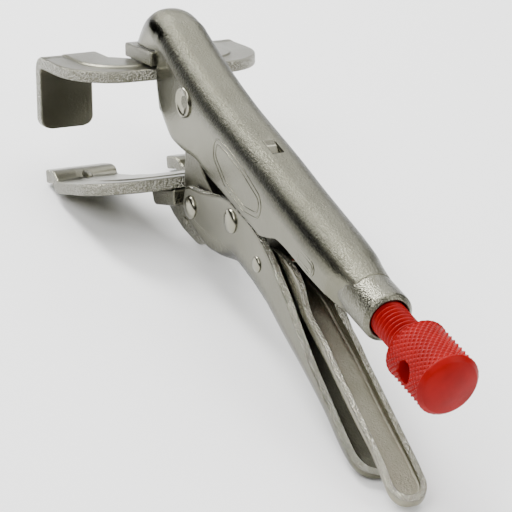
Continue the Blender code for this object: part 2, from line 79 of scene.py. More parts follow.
def make_piece(name, points, faces, masks=None, flat=False):
    """Puts points in millimetres from the jaw pivot into a mesh object, merged and facing outwards."""
    mesh = bpy.data.meshes.new(name)
    mesh.from_pydata(((points + ORIGIN) * MM).tolist(), [], faces)
    for mask, values in (masks or {}).items():
        stored = mesh.attributes.new(mask, "FLOAT", "POINT")
        stored.data.foreach_set("value", np.ravel(values).astype(np.float32))
    shape = bmesh.new()
    shape.from_mesh(mesh)
    bmesh.ops.remove_doubles(shape, verts=shape.verts, dist=2e-6)
    bmesh.ops.dissolve_degenerate(shape, edges=shape.edges, dist=1e-7)
    bmesh.ops.recalc_face_normals(shape, faces=shape.faces)
    shape.to_mesh(mesh)
    shape.free()
    mesh.polygons.foreach_set("use_smooth", np.full(len(mesh.polygons), not flat))
    piece = bpy.data.objects.new(name, mesh)
    bpy.context.scene.collection.objects.link(piece)
    return piece


def ring_piece(name, rings, masks=None):
    """A closed skin from an array of rings (rows x columns x 3), capped with one face at each end."""
    rows, columns = rings.shape[:2]
    faces = grid_faces(rows, columns)
    faces.append(list(range(columns)))
    faces.append(list(range((rows - 1) * columns, rows * columns)))
    return make_piece(name, rings.reshape(-1, 3), faces, masks)


def even_shading(piece):
    """Lets large flat faces set the normals of the narrow rounded edges beside them."""
    modifier = piece.modifiers.new("flat faces lead", "WEIGHTED_NORMAL")
    modifier.keep_sharp = True
    modifier.weight = 100


def smooth_line(points):
    """A curve through (x, value) points that never overshoots: cubic pieces with harmonic-mean slopes."""
    xs, values = np.array(sorted(points), float).T
    steps = np.diff(xs)
    slopes = np.diff(values) / steps
    before, after = slopes[:-1], slopes[1:]
    same_way = before * after > 0
    mean = np.where(same_way, 2 * before * after / np.where(same_way, before + after, 1), 0)
    tangents = np.concatenate([slopes[:1], mean, slopes[-1:]])

    def value_at(x):
        """Value = the cubic that joins the two points on either side of x."""
        x = np.clip(np.asarray(x, float), xs[0], xs[-1])
        i = np.clip(np.searchsorted(xs, x) - 1, 0, len(steps) - 1)
        t, h = (x - xs[i]) / steps[i], steps[i]
        start = (1 + 2 * t) * (1 - t) ** 2 * values[i] + t * (1 - t) ** 2 * h * tangents[i]
        end = t**2 * (3 - 2 * t) * values[i + 1] + t**2 * (t - 1) * h * tangents[i + 1]
        return start + end

    return value_at


def rounded(corners, steps=8):
    """Turns (u, v, radius) corners of a closed outline into an array of points, with arcs at the corners."""
    points = []
    for i, (u, v, radius) in enumerate(corners):
        here = np.array([u, v], float)
        before = np.array(corners[i - 1][:2], float) - here
        after = np.array(corners[(i + 1) % len(corners)][:2], float) - here
        room = 0.48 * min(np.linalg.norm(before), np.linalg.norm(after))
        d0, d1 = before / np.linalg.norm(before), after / np.linalg.norm(after)
        half = math.acos(float(np.clip(d0 @ d1, -1, 1))) / 2
        reach = min(max(radius, 0.05) / math.tan(half), room)
        radius = reach * math.tan(half)
        centre = here + (d0 + d1) / np.linalg.norm(d0 + d1) * radius / math.sin(half)
        start, end = here + d0 * reach - centre, here + d1 * reach - centre
        sweep = math.atan2(start[0] * end[1] - start[1] * end[0], float(start @ end))
        turns = np.linspace(0, sweep, max(2, round(steps * abs(sweep) / (math.pi / 2)) + 1))[:, None]
        points.append(centre + start * np.cos(turns) + np.array([-start[1], start[0]]) * np.sin(turns))
    return np.concatenate(points)


def plate(name, corners, half, edge=0.4, steps=8):
    """A plate upright along X, its outline in X and Z, thick across Y, with its edges rounded.

    Ring k of the rounding lies edge * (1 - cos a) within the outline and edge * (1 - sin a) below the face.
    """
    outline = rounded(corners, steps)
    ahead = np.roll(outline, -1, 0) - np.roll(outline, 1, 0)
    across = np.stack([ahead[:, 1], -ahead[:, 0]], 1) / np.linalg.norm(ahead, axis=1)[:, None]
    area = np.sum(outline[:, 0] * np.roll(outline[:, 1], -1) - outline[:, 1] * np.roll(outline[:, 0], -1))
    outwards = across * np.sign(area)
    turn = np.linspace(0, math.pi / 2, 4)
    inset = edge * (1 - np.cos(turn))
    level = half - edge + edge * np.sin(turn)
    inset, level = np.concatenate([inset[::-1], inset]), np.concatenate([level[::-1], -level])
    flat = outline[None] - outwards[None] * inset[:, None, None]
    rings = np.stack([flat[..., 0], np.broadcast_to(level[:, None], flat.shape[:2]), flat[..., 1]], -1)
    piece = ring_piece(name, rings)
    even_shading(piece)
    return piece


def turned(name, profile, place, steps=48, masks=None):
    """Turns an array of (along, radius) round an axis; place maps (along, a, b) to X, Y, Z."""
    along, radius = np.array(profile, float).T
    angle = np.linspace(0, 2 * math.pi, steps, endpoint=False)
    a, b = radius[:, None] * np.cos(angle), radius[:, None] * np.sin(angle)
    rings = place(np.broadcast_to(along[:, None], a.shape), a, b)
    return ring_piece(name, rings, masks)


print("helpers ready")

# %% [markdown]
# ## Finishes
#
# Nickel over shot-blasted steel isn't one grey. Its colour leans to straw, fine pits catch the light on
# the blasted faces, and sheared edges are torn and sparkle, partly through bright glint spots painted into
# their colour. One node group makes that grain once, and each finish sets its own strength. Masks stored on
# the points say where a sheet's back or edge lies. The bend mask paints a dark reflection band into the
# colour of the sheet's outer corners, since the sky alone draws too faint a band there, and the inner mask
# paints shade on the inner skin.

# %% The grain shared by all plated steel
def add_node(tree, kind, **settings):
    """A new node; each setting goes to the input of that name, or else to the node itself."""
    node = tree.nodes.new(kind)
    for key, value in settings.items():
        if key in node.inputs:
            node.inputs[key].default_value = value
        else:
            setattr(node, key, value)
    return node


def math_node(tree, operation, a, b):
    """One operation on two values, each a number or a socket."""
    node = add_node(tree, "ShaderNodeMath", operation=operation)
    for socket, value in zip(node.inputs, (a, b)):
        if isinstance(value, (int, float)):
            socket.default_value = value
        else:
            tree.links.new(value, socket)
    return node.outputs[0]


def blend_colours(tree, amount, first, second):
    """first where amount is 0, second where it is 1."""
    node = add_node(tree, "ShaderNodeMix", data_type="RGBA")
    tree.links.new(amount, node.inputs[0])
    for socket, value in ((node.inputs[6], first), (node.inputs[7], second)):
        if isinstance(value, tuple):
            socket.default_value = (*value, 1.0)
        else:
            tree.links.new(value, socket)
    return node.outputs[2]


def stretch(tree, value, low, high):
    """Maps low..high to 0..1 and clamps it."""
    node = add_node(tree, "ShaderNodeMapRange")
    tree.links.new(value, node.inputs["Value"])
    node.inputs["From Min"].default_value = low
    node.inputs["From Max"].default_value = high
    return node.outputs["Result"]


def plated_grain():
    """Puts out a colour, a roughness and a height that vary over plated, blasted steel."""
    group = bpy.data.node_groups.new("plated_grain", "ShaderNodeTree")
    sockets = group.interface
    for way, values in (("INPUT", ("Smooth", "Grain", "Edge", "Size")), ("OUTPUT", ("Roughness", "Height"))):
        sockets.new_socket("Colour", in_out=way, socket_type="NodeSocketColor")
        for name in values:
            sockets.new_socket(name, in_out=way, socket_type="NodeSocketFloat")
    enter = add_node(group, "NodeGroupInput")
    leave = add_node(group, "NodeGroupOutput")
    place = add_node(group, "ShaderNodeTexCoord")
    scaled = add_node(group, "ShaderNodeVectorMath", operation="SCALE")
    group.links.new(place.outputs["Object"], scaled.inputs[0])
    group.links.new(enter.outputs["Size"], scaled.inputs["Scale"])
    pits = add_node(group, "ShaderNodeTexNoise", Scale=1.0, Detail=4.0, Roughness=0.65)
    cells = add_node(group, "ShaderNodeTexVoronoi", Scale=1.7, Randomness=1.0)
    cloud = add_node(group, "ShaderNodeTexNoise", Scale=55.0, Detail=3.0, Roughness=0.55)
    blotch = add_node(group, "ShaderNodeTexNoise", Scale=210.0, Detail=4.0, Roughness=0.6)
    for node in (pits, cells):
        group.links.new(scaled.outputs[0], node.inputs["Vector"])
    for node in (cloud, blotch):
        group.links.new(place.outputs["Object"], node.inputs["Vector"])
    tone = stretch(group, cloud.outputs["Fac"], 0.3, 0.7)
    straw = blend_colours(group, tone, (0.80, 0.79, 0.74), (1.0, 0.99, 0.96))
    dull = math_node(group, "MULTIPLY", stretch(group, blotch.outputs["Fac"], 0.45, 0.75), 0.35)
    spots = blend_colours(group, dull, straw, (0.70, 0.68, 0.60))
    tint = add_node(group, "ShaderNodeMix", data_type="RGBA", blend_type="MULTIPLY")
    tint.inputs[0].default_value = 1.0
    group.links.new(enter.outputs["Colour"], tint.inputs[6])
    group.links.new(spots, tint.inputs[7])
    grains, edge = enter.outputs["Grain"], enter.outputs["Edge"]
    # Sparkle on torn edges: real torn relief and lower roughness, plus bright glint spots painted into the
    # colour.
    sparkle = math_node(group, "MULTIPLY", stretch(group, cells.outputs["Distance"], 0.55, 0.1), edge)
    gleam = math_node(group, "MULTIPLY", sparkle, 0.8)
    bright = blend_colours(group, gleam, tint.outputs[2], (0.62, 0.61, 0.56))
    group.links.new(bright, leave.inputs["Colour"])
    rough = math_node(group, "ADD", enter.outputs["Smooth"], math_node(group, "MULTIPLY", grains, 0.16))
    rough = math_node(group, "ADD", rough, math_node(group, "MULTIPLY", tone, -0.05))
    rough = math_node(group, "ADD", rough, math_node(group, "MULTIPLY", sparkle, -0.12))
    group.links.new(rough, leave.inputs["Roughness"])
    coarse = math_node(group, "MULTIPLY", pits.outputs["Fac"], grains)
    torn = math_node(group, "MULTIPLY", cells.outputs["Distance"], math_node(group, "MULTIPLY", edge, 1.6))
    group.links.new(math_node(group, "ADD", coarse, torn), leave.inputs["Height"])
    return group


GRAIN = plated_grain()


def plated_steel(name, colour, smooth, grain, edge=0.0, size=1400.0, relief=0.00005, masks=()):
    """A plated finish; masks names the point masks that it reads.

    back and rim add grain and torn edge. The inner mask paints shade on the inner skin, and the bend mask
    paints a dark reflection band on the outer corners.
    """
    finish = bpy.data.materials.new(name)
    finish.use_nodes = True
    tree = finish.node_tree
    shader = tree.nodes["Principled BSDF"]
    shader.inputs["Metallic"].default_value = 1.0
    group = add_node(tree, "ShaderNodeGroup")
    group.node_tree = GRAIN
    group.inputs["Colour"].default_value = (*colour, 1.0)
    for key, value in (("Smooth", smooth), ("Grain", grain), ("Edge", edge), ("Size", size)):
        group.inputs[key].default_value = value
    if "back" in masks:
        back = add_node(tree, "ShaderNodeAttribute", attribute_name="back")
        tree.links.new(math_node(tree, "MAXIMUM", back.outputs["Fac"], grain), group.inputs["Grain"])
    if "rim" in masks:
        rim = add_node(tree, "ShaderNodeAttribute", attribute_name="rim")
        tree.links.new(math_node(tree, "MAXIMUM", rim.outputs["Fac"], edge), group.inputs["Edge"])
    if "painted_inner_shade" in masks:
        painted_inner_shade = add_node(tree, "ShaderNodeAttribute", attribute_name="painted_inner_shade")
        painted_bend_reflection = add_node(tree, "ShaderNodeAttribute", attribute_name="painted_bend_reflection")
        # Painted dark reflection: the bend mask, broken up by fine specks, darkens the colour along the outer
        # corners.
        place = add_node(tree, "ShaderNodeTexCoord")
        speck = add_node(tree, "ShaderNodeTexNoise", Scale=1500.0, Detail=3.0, Roughness=0.7)
        tree.links.new(place.outputs["Object"], speck.inputs["Vector"])
        specks = math_node(tree, "MULTIPLY", speck.outputs["Fac"], -0.75)
        ragged = math_node(tree, "ADD", painted_bend_reflection.outputs["Fac"], specks)
        bent = blend_colours(tree, stretch(tree, ragged, -0.15, 0.55), colour, (0.022, 0.022, 0.016))
        # Painted shade: the inner mask darkens the inner skin almost to black.
        shaded = blend_colours(tree, painted_inner_shade.outputs["Fac"], bent, (0.035, 0.033, 0.022))
        tree.links.new(shaded, group.inputs["Colour"])
    bump = add_node(tree, "ShaderNodeBump", Strength=0.9, Distance=relief)
    tree.links.new(group.outputs["Height"], bump.inputs["Height"])
    tree.links.new(group.outputs["Colour"], shader.inputs["Base Color"])
    tree.links.new(group.outputs["Roughness"], shader.inputs["Roughness"])
    tree.links.new(bump.outputs["Normal"], shader.inputs["Normal"])
    return finish


NICKEL = (0.155, 0.153, 0.120)
SHEET_STEEL = plated_steel("sheet_nickel", NICKEL, 0.21, 0.13, relief=0.00032,
                           masks=("back", "rim", "painted_inner_shade"))
LEVER_STEEL = plated_steel("lever_nickel", (0.27, 0.262, 0.212), 0.24, 0.18, relief=0.00030,
                           masks=("back", "rim"))
FORGED_STEEL = plated_steel("forged_nickel", (0.14, 0.138, 0.108), 0.26, 0.40, edge=0.2, relief=0.00030)
PLATE_STEEL = plated_steel("plate_nickel", (0.20, 0.197, 0.158), 0.27, 0.34, relief=0.00030, masks=("rim",))
RIVET_STEEL = plated_steel("rivet_nickel", (0.27, 0.265, 0.22), 0.20, 0.25)
SPRING_STEEL = plated_steel("spring_steel", (0.14, 0.14, 0.14), 0.28, 0.10)
print("finishes:", ", ".join(m.name for m in bpy.data.materials if m.node_tree and "nickel" in m.name))

# %% [markdown]
# ## Red coating
#
# The rod and the knob are dipped in a thin red coating. It is satin where it lies smooth, and looks
# chalky and paler on the sharp crests of the knurl and the thread, where it is thin and rubbed.

# %% The coating
def red_coating():
    """Two deep reds in soft patches, paler and rougher on the crests that the crest mask marks."""
    finish = bpy.data.materials.new("red_coating")
    finish.use_nodes = True
    tree = finish.node_tree
    shader = tree.nodes["Principled BSDF"]
    place = add_node(tree, "ShaderNodeTexCoord")
    fine = add_node(tree, "ShaderNodeTexNoise", Scale=1900.0, Detail=3.0, Roughness=0.6)
    cloud = add_node(tree, "ShaderNodeTexNoise", Scale=160.0, Detail=3.0, Roughness=0.5)
    crest = add_node(tree, "ShaderNodeAttribute", attribute_name="crest")
    for node in (fine, cloud):
        tree.links.new(place.outputs["Object"], node.inputs["Vector"])
    patches = stretch(tree, cloud.outputs["Fac"], 0.3, 0.7)
    tone = blend_colours(tree, patches, (0.20, 0.0, 0.0), (0.27, 0.0005, 0.0008))
    rubbed = math_node(tree, "MULTIPLY", crest.outputs["Fac"], stretch(tree, fine.outputs["Fac"], 0.25, 0.6))
    colour = blend_colours(tree, math_node(tree, "MULTIPLY", rubbed, 0.35), tone, (0.36, 0.008, 0.008))
    tree.links.new(colour, shader.inputs["Base Color"])
    shader.inputs["Specular IOR Level"].default_value = 0.12
    rough = math_node(tree, "ADD", math_node(tree, "MULTIPLY", rubbed, 0.2), 0.42)
    tree.links.new(rough, shader.inputs["Roughness"])
    bump = add_node(tree, "ShaderNodeBump", Strength=0.5, Distance=0.00003)
    tree.links.new(fine.outputs["Fac"], bump.inputs["Height"])
    tree.links.new(bump.outputs["Normal"], shader.inputs["Normal"])
    return finish


RED = red_coating()


def finished(piece, finish, body, slot, *nodes):
    """Gives a piece its finish and its body, and hides the CAD nodes that it stands for. The slot is not
    used.
    """
    piece.data.materials.clear()
    piece.data.materials.append(finish)
    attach(piece, body)
    if nodes:
        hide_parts(*nodes)
    return piece


print("red coating ready")

# %% [markdown]
# ## Bent sheet
#
# Both handles and the lever are strips of sheet bent to a U. The skin is a loft: a bent profile is carried
# along stations, outer skin and inner skin apart, joined by a rounded rim. A station is a line from the
# open edge to the bend, so stations may also fan out, which closes the upper handle's nose, or shrink
# across, which rounds off the ends of the lower handle and the lever. One function does all three.

# %% A channel of bent sheet
SIDE_STEPS, BEND_STEPS = 10, 11  # columns of points down a straight side and round a bend


def bent_profile(half, height, corner, curl):
    """Across (y) and depth (h) of a U, for each station: straight sides, quarter-circle corners, flat floor.

    curl draws the open edges together: y is multiplied by 1 - curl * (1 - h / height) ** 2.
    """
    corner = np.minimum(corner, 0.97 * np.minimum(half, height))[:, None]
    half, height, curl = half[:, None], height[:, None], curl[:, None]
    side = np.linspace(0, 1, SIDE_STEPS, endpoint=False)[None]
    turn = np.linspace(0, math.pi / 2, BEND_STEPS)[None]
    floor = np.linspace(1, -1, 8)[None, 1:-1]
    y = [half + 0 * side, half - corner + corner * np.cos(turn), (half - corner) * floor]
    h = [(height - corner) * side, height - corner + corner * np.sin(turn), height + 0 * floor]
    y += [-y[1][:, ::-1], -y[0][:, ::-1]]
    h += [h[1][:, ::-1], h[0][:, ::-1]]
    y, h = np.concatenate(y, 1), np.concatenate(h, 1)
    return y * (1 - curl * (1 - h / height) ** 2), h


def skin(edge, bend, half, corner, curl):
    """Places the bent profile on the stations, given as edge and bend points in X and Z."""
    reach = bend - edge
    height = np.linalg.norm(reach, axis=1)
    y, h = bent_profile(half, height, corner, curl)
    along = edge[:, None, :] + reach[:, None, :] * (h / height[:, None])[..., None]
    return np.stack([along[..., 0], y, along[..., 1]], -1), h / height[:, None]


def channel(name, outer, inner, rim_rise=0.25):
    """A closed shell between an outer and an inner skin, joined by a rim that rises a little past them."""
    skin_out, depth_out = skin(**outer)
    skin_in, depth_in = skin(**inner)
    away = outer["edge"] - outer["bend"]
    away = away / np.linalg.norm(away, axis=1)[:, None]
    away = np.stack([away[:, 0], 0 * away[:, 0], away[:, 1]], 1)[:, None]
    turn = np.linspace(0, math.pi, 8)[1:-1]
    swing = np.sign(np.cos(turn)) * np.abs(np.cos(turn)) ** 0.45
    lift = np.sin(turn) ** 0.45

    def rim(start, end):
        """A rounded strip of points from one skin's open edge to the other's."""
        middle, reach = (start + end) / 2, (start - end) / 2
        return middle[:, None] + reach[:, None] * swing[None, :, None] + away * rim_rise * lift[None, :, None]

    right = rim(skin_out[:, -1], skin_in[:, -1])
    left = rim(skin_in[:, 0], skin_out[:, 0])
    rings = np.concatenate([skin_out, right, skin_in[:, ::-1], left], 1)
    rows, columns = rings.shape[:2]
    across, rims = skin_out.shape[1], right.shape[1]
    is_rim, painted_inner_shade = np.zeros((rows, columns)), np.zeros((rows, columns))
    is_rim[:, across:across + rims] = is_rim[:, -rims:] = 1
    # Painted shade on the inner skin: full from the open edge to about half its depth, none at the bend.
    painted_inner_shade[:, across + rims:2 * across + rims] = np.clip((1 - depth_in[:, ::-1]) * 2.2, 0, 1)
    back = np.zeros((rows, columns))
    back[:, :across] = np.clip((depth_out - 0.62) * 4, 0, 1)
    back[:, across + rims:2 * across + rims] = np.clip((depth_in[:, ::-1] - 0.5) * 3, 0, 1)
    # Painted dark reflection: a band along each outer bend of the sheet, deepening the faint band the sky
    # draws there.
    painted_bend_reflection = np.zeros((rows, columns))
    column = np.arange(across)
    into_bend = (np.minimum(column, across - 1 - column) - SIDE_STEPS) / BEND_STEPS
    painted_bend_reflection[:, :across] = np.clip(1 - np.abs(into_bend - 0.32) / 0.62, 0, 1)[None]
    painted_bend_reflection[:, :across] *= np.clip((outer["half"] - 7.0) / 1.2, 0, 1)[:, None]
    faces = grid_faces(rows, columns)
    for row in (0, rows - 1):
        first = row * columns
        k = np.arange(across - 1)
        mate = across + rims + across - 1 - k
        faces += (first + np.stack([k, k + 1, mate - 1, mate], 1)).tolist()
        faces.append((first + np.arange(across - 1, across + rims + 1)).tolist())
        faces.append([*(first + np.arange(2 * across + rims - 1, columns)).tolist(), first])
    masks = {"rim": is_rim, "painted_inner_shade": painted_inner_shade, "back": back, "painted_bend_reflection": painted_bend_reflection}
    piece = make_piece(name, rings.reshape(-1, 3), faces, masks)
    print(name, rows, "stations,", len(piece.data.polygons), "faces")
    return piece


def cut_away(piece, *cutters):
    """Takes closed cutters out of a piece, once, and removes them."""
    for cutter in cutters:
        modifier = piece.modifiers.new("cut", "BOOLEAN")
        modifier.operation = "DIFFERENCE"
        modifier.solver = "EXACT"
        modifier.object = cutter
        graph = bpy.context.evaluated_depsgraph_get()
        mesh = bpy.data.meshes.new_from_object(piece.evaluated_get(graph))
        piece.modifiers.clear()
        piece.data = mesh
        bpy.data.objects.remove(cutter)
    return piece


HALF = 8.2  # half width of both handles
SHEET = 2.3
print("channel ready, sheet", SHEET, "mm")

# %% [markdown]
# ## Upper handle
#
# The largest pressing. Its back swells slowly from the collar to a nose over the jaws. It could be carved
# from a box with a subdivision surface, but the long straight sides would ripple. As a loft it has true
# flat sides and a rounded back, and the nose is only the same section swung about the block's rear corner.

# %% Upper handle
BACK = smooth_line([(-104, 2.1), (-98, 2.9), (-93, 3.8), (-78, 4.5), (-60, 5.3), (-47, 6.2), (-33, 6.8),
                    (-19, 7.4), (-6, 8.7), (4, 10.2), (12, 11.7), (19, 13.2), (24, 14.3), (29, 14.6)])
LOWER_EDGE = smooth_line([(-104, -9.9), (-98, -9.6), (-93.8, -8.6), (-83.8, -8.4), (-70.6, -8.0),
                          (-65.3, -8.3), (-59, -11.0), (-54, -12.7), (-23, -12.7), (-12, -12.3),
                          (-2.7, -13.8), (4.5, -14.3), (12, -11.4), (16.2, -8.3), (19.0, -3.6),
                          (20.4, 1.5), (22.0, 5.0), (22.8, 5.3)])
BODY_HALF = smooth_line([(-104, 6.9), (-98, 7.3), (-90, 7.9), (-80, HALF), (30, HALF)])
BACK_CORNER = smooth_line([(-104, 7.2), (-88, 7.2), (-66, 6.8), (-40, 6.3), (-10, 6.0), (23, 6.2)])
NOSE_CORNER = (22.8, 5.3)
NOSE_BEND = smooth_line([(-16.5, 7.6), (50, 7.9), (62, 7.7), (75, 6.95), (90, 6.2)])
NOSE_REACH = smooth_line([(-16.5, 19.0), (-9, 17.8), (3.7, 16.4), (12, 15.8), (22.6, 14.9), (33.5, 13.8),
                          (42.7, 12.7), (51.6, 11.65), (60.8, 10.66), (70.8, 9.74), (80, 9.12), (90, 8.7)])


def upper_handle():
    """Stations along the body, then stations that swing from 89 to -16.5 degrees about the nose corner."""
    x = np.concatenate([np.linspace(-103.5, -90, 22), np.linspace(-89, -50, 40), np.linspace(-49, 12, 62),
                        np.linspace(12.5, 22.6, 34)])
    swing = np.radians(np.linspace(89, -16.5, 46))
    reach = NOSE_REACH(np.degrees(swing))
    corner = np.array(NOSE_CORNER)
    edge = np.concatenate([np.stack([x, LOWER_EDGE(x)], 1), np.tile(corner, (swing.size, 1))])
    nose = corner + reach[:, None] * np.stack([np.cos(swing), np.sin(swing)], 1)
    bend = np.concatenate([np.stack([x, BACK(x)], 1), nose])
    half = np.concatenate([BODY_HALF(x), np.full(swing.size, HALF)])
    curl = np.concatenate([np.clip((-93 - x) / 10, 0, 1) ** 1.5 * 0.62, np.zeros(swing.size)])
    reach = bend - edge
    height = np.linalg.norm(reach, axis=1)[:, None]
    corner_out = np.concatenate([BACK_CORNER(x), NOSE_BEND(np.degrees(swing))])
    outer = {"edge": edge, "bend": bend, "half": half, "corner": corner_out, "curl": curl}
    inner = {"edge": edge, "bend": bend - reach / height * SHEET, "half": np.maximum(half - SHEET, 5.0),
             "corner": np.maximum(corner_out - SHEET, 2.0), "curl": curl}
    return channel("upper_handle", outer, inner)


def spring_window():
    """A slot through the back, where the spring's lug is lanced out of the sheet."""
    corners = [(-44.6, -5, 0.2), (-38.4, -5, 0.2), (-38.4, 12, 0.2), (-44.6, 12, 0.2)]
    return plate("window", corners, 1.7, 0.15)  # its edge stays below its corner radius, or the cut fails


UPPER = cut_away(upper_handle(), spring_window())
print("upper handle keeps", len(UPPER.data.polygons), "faces")
finished(UPPER, SHEET_STEEL, "upper_body", "satin_nickel", "upper_handle")

# %% [markdown]
# ## Stamped frames
#
# Two empty frames are stamped in the flat left side: a long one and a small oval. Each is a pair of thin
# ridges, one inside the other. A ridge is a low half-round section carried round a closed outline, so it
# stays crisp without a texture and no flat face has to be cut.

# %% Frames on the side
def ridge_loop(name, corners, inset, side, width=0.55, rise=0.16):
    """A ridge on the plane y = side: the outline moved inwards, its section rise * cos(turn) high."""
    outline = rounded(corners, 12)
    keep = np.linalg.norm(outline - np.roll(outline, 1, 0), axis=1) > 0.02
    outline = outline[keep]
    ahead = np.roll(outline, -1, 0) - np.roll(outline, 1, 0)
    across = np.stack([ahead[:, 1], -ahead[:, 0]], 1) / np.linalg.norm(ahead, axis=1)[:, None]
    area = np.sum(outline[:, 0] * np.roll(outline[:, 1], -1) - outline[:, 1] * np.roll(outline[:, 0], -1))
    outwards = across * np.sign(area)
    turn = np.radians(np.array([-90, -60, -30, 0, 30, 60, 90]))
    shift = np.concatenate([width / 2 * np.sin(turn), [0.0]])
    level = np.concatenate([rise * np.cos(turn), [-0.15]])
    flat = outline[:, None] + outwards[:, None] * (shift - inset)[None, :, None]
    rings = np.stack([flat[..., 0], np.broadcast_to(side + level, flat.shape[:2]), flat[..., 1]], -1)
    closed = np.concatenate([rings, rings[:1]])
    return make_piece(name, closed.reshape(-1, 3), grid_faces(len(closed), len(shift)))


LONG_FRAME = [(-21.6, 0.2, 4), (-22.0, -6.0, 4), (-31.0, -10.4, 6), (-44.0, -11.4, 6), (-53.6, -8.8, 4),
              (-53.8, -2.4, 4), (-41.0, 0.2, 6), (-29.0, 1.0, 5)]
SMALL_OVAL = [(-76.6, -3.5, 2.1), (-76.6, -7.7, 2.1), (-86.4, -7.9, 2.0), (-86.4, -3.9, 2.0)]
for frame_name, corners, steps_in, side in (("long_frame", LONG_FRAME, (0.0, 1.5), HALF),
                                            ("small_oval", SMALL_OVAL, (0.0, 0.95), 8.08)):
    for number, step_in in enumerate(steps_in):
        ridge = ridge_loop(f"{frame_name}_{number}", corners, step_in, side)
        finished(ridge, SHEET_STEEL, "upper_body", "satin_nickel")
print("frames stamped")

# %% [markdown]
# ## Lug and collar
#
# The lug is the tongue of metal that the lance pushed down: a bright torn edge in a dark slot. The collar
# is where the sheet is rolled into a tube and reamed for the screw. It is turned here as its own ring of
# surface, a hair prouder than the handle, which leaves the fine step that shows round it.

# %% Lug and collar
AXIS_Z = -4.9


def along_x(x, a, b):
    """Places a turned profile on the adjusting screw's axis."""
    return np.stack([x, a, b + AXIS_Z], -1)


LUG = plate("spring_lug", [(-37.6, 6.75, 0.3), (-40.2, 6.2, 1.5), (-42.3, 4.6, 0.3), (-42.5, 3.2, 0.3),
                           (-41.4, -0.8, 0.4), (-40.4, -0.8, 0.4), (-39.6, 3.4, 2.0), (-37.6, 5.0, 0.3)],
            1.6, 0.2)
finished(LUG, RIVET_STEEL, "upper_body", "satin_nickel")

COLLAR_PROFILE = [(-96.5, 5.35), (-113.6, 5.35), (-114.0, 5.75), (-114.0, 5.95), (-113.2, 6.75),
                  (-112.9, 6.95), (-112.5, 7.02), (-104.0, 7.05), (-100.6, 7.05), (-100.2, 6.98),
                  (-99.9, 6.75), (-97.0, 6.6)]


def collar():
    """Turns the collar's closed profile about the screw's axis."""
    profile = np.array(COLLAR_PROFILE)
    angle = np.linspace(0, 2 * math.pi, 72, endpoint=False)
    a, b = profile[:, 1:] * np.cos(angle), profile[:, 1:] * np.sin(angle)
    rings = along_x(np.broadcast_to(profile[:, :1], a.shape), a, b)
    closed = np.concatenate([rings, rings[:1]])
    return make_piece("collar", closed.reshape(-1, 3), grid_faces(len(closed), 72))


COLLAR = collar()
even_shading(COLLAR)
finished(COLLAR, FORGED_STEEL, "upper_body", "satin_nickel")
print("collar", len(COLLAR.data.polygons), "faces")

# %% [markdown]
# ## Lower handle
#
# The same bent sheet turned over, open above, with a spoon-shaped end. In front the floor stops and the
# two cheeks run on beside the lower jaw, so a box takes the floor out between them.

# %% Lower handle
HANDLE_RIM = smooth_line([(-124.8, -45.7), (-122, -44.9), (-119, -43.3), (-112.8, -41.0), (-109, -39.4),
                          (-104.3, -37.4), (-98.8, -35.1), (-93.5, -32.8), (-87, -29.6), (-78, -24.6),
                          (-70.3, -20.4), (-62.9, -16.9), (-53.3, -13.9), (-48, -13.4), (-36, -13.6),
                          (-30, -15.0), (-20, -19.2), (-12, -22.0), (-9, -22.7), (-6.9, -24.6),
                          (-5.9, -27.4)])
HANDLE_FLOOR = smooth_line([(-124.8, -46.5), (-123.6, -47.1), (-121, -47.5), (-116, -47.9), (-111.7, -46.9),
                            (-102, -43.2), (-89.6, -39.6), (-73.9, -35.8), (-60.4, -32.4), (-49, -31.1),
                            (-42.3, -30.9), (-31.2, -32.6), (-24, -34.2), (-16, -33.8), (-10, -32.4),
                            (-6.9, -30.4), (-5.9, -28.3)])


def spoon_channel(name, rim, floor, x_front, x_centre, half, length, sheet, corner, spread=0.0):
    """A channel whose rear end is rounded in plan.

    Past x_centre, station x is x_centre - length * sin(a) and its half width is half * cos(a), for the
    outer skin, and the same with the sheet's thickness taken off for the inner skin.
    """
    x = np.linspace(x_front, x_centre, 110)
    turn = np.linspace(0, math.pi / 2, 26)[1:]
    straight = np.ones(x.size)
    x_out = np.concatenate([x, x_centre - length * np.sin(turn)])
    x_in = np.concatenate([x, x_centre - (length - sheet) * np.sin(turn)])
    swell = 1 + spread * np.clip((x_centre + 12 - x_out) / 12, 0, 1) ** 2
    half_out = half * np.concatenate([straight, np.cos(turn)]) * swell
    half_in = (half - sheet) * np.concatenate([straight, np.cos(turn)]) * swell
    bend_in = floor(x_in) + np.minimum(sheet, 0.7 * (rim(x_in) - floor(x_in)))
    corner_in = np.maximum(corner(x_in) - sheet, 0.6)
    outer = {"edge": np.stack([x_out, rim(x_out)], 1), "bend": np.stack([x_out, floor(x_out)], 1),
             "half": np.maximum(half_out, 0.02), "corner": corner(x_out), "curl": 0 * x_out}
    inner = {"edge": np.stack([x_in, rim(x_in)], 1), "bend": np.stack([x_in, bend_in], 1),
             "half": np.maximum(half_in, 0.01), "corner": corner_in, "curl": 0 * x_in}
    return channel(name, outer, inner)


def block_cutter(name, low, high):
    """A plain box for cutting, from its low to its high corner."""
    middle_y = (high[1] - low[1]) / 2
    corners = [(low[0], low[2], 0), (high[0], low[2], 0), (high[0], high[2], 0), (low[0], high[2], 0)]
    return plate(name, corners, middle_y, 0.05, 2)


HANDLE_CORNER = smooth_line([(-125, 3.0), (-116, 5.5), (-100, 6.0), (-42, 6.0), (-31, 1.5), (-5, 1.2)])
HANDLE = spoon_channel("lower_handle", HANDLE_RIM, HANDLE_FLOOR, -6.0, -117.0, HALF, 7.8, SHEET,
                       HANDLE_CORNER)
cut_away(HANDLE, block_cutter("floor_gap", (-33.0, -HALF + SHEET, -60), (10, HALF - SHEET, 5)))
finished(HANDLE, SHEET_STEEL, "lower_handle", "satin_nickel", "lower_handle")

# %% [markdown]
# ## Release lever
#
# A narrower channel that lies in the lower handle with its tail standing out behind. Pressing the tail
# pushes the link back over its dead point. Its tail flares slightly before the rounded end.

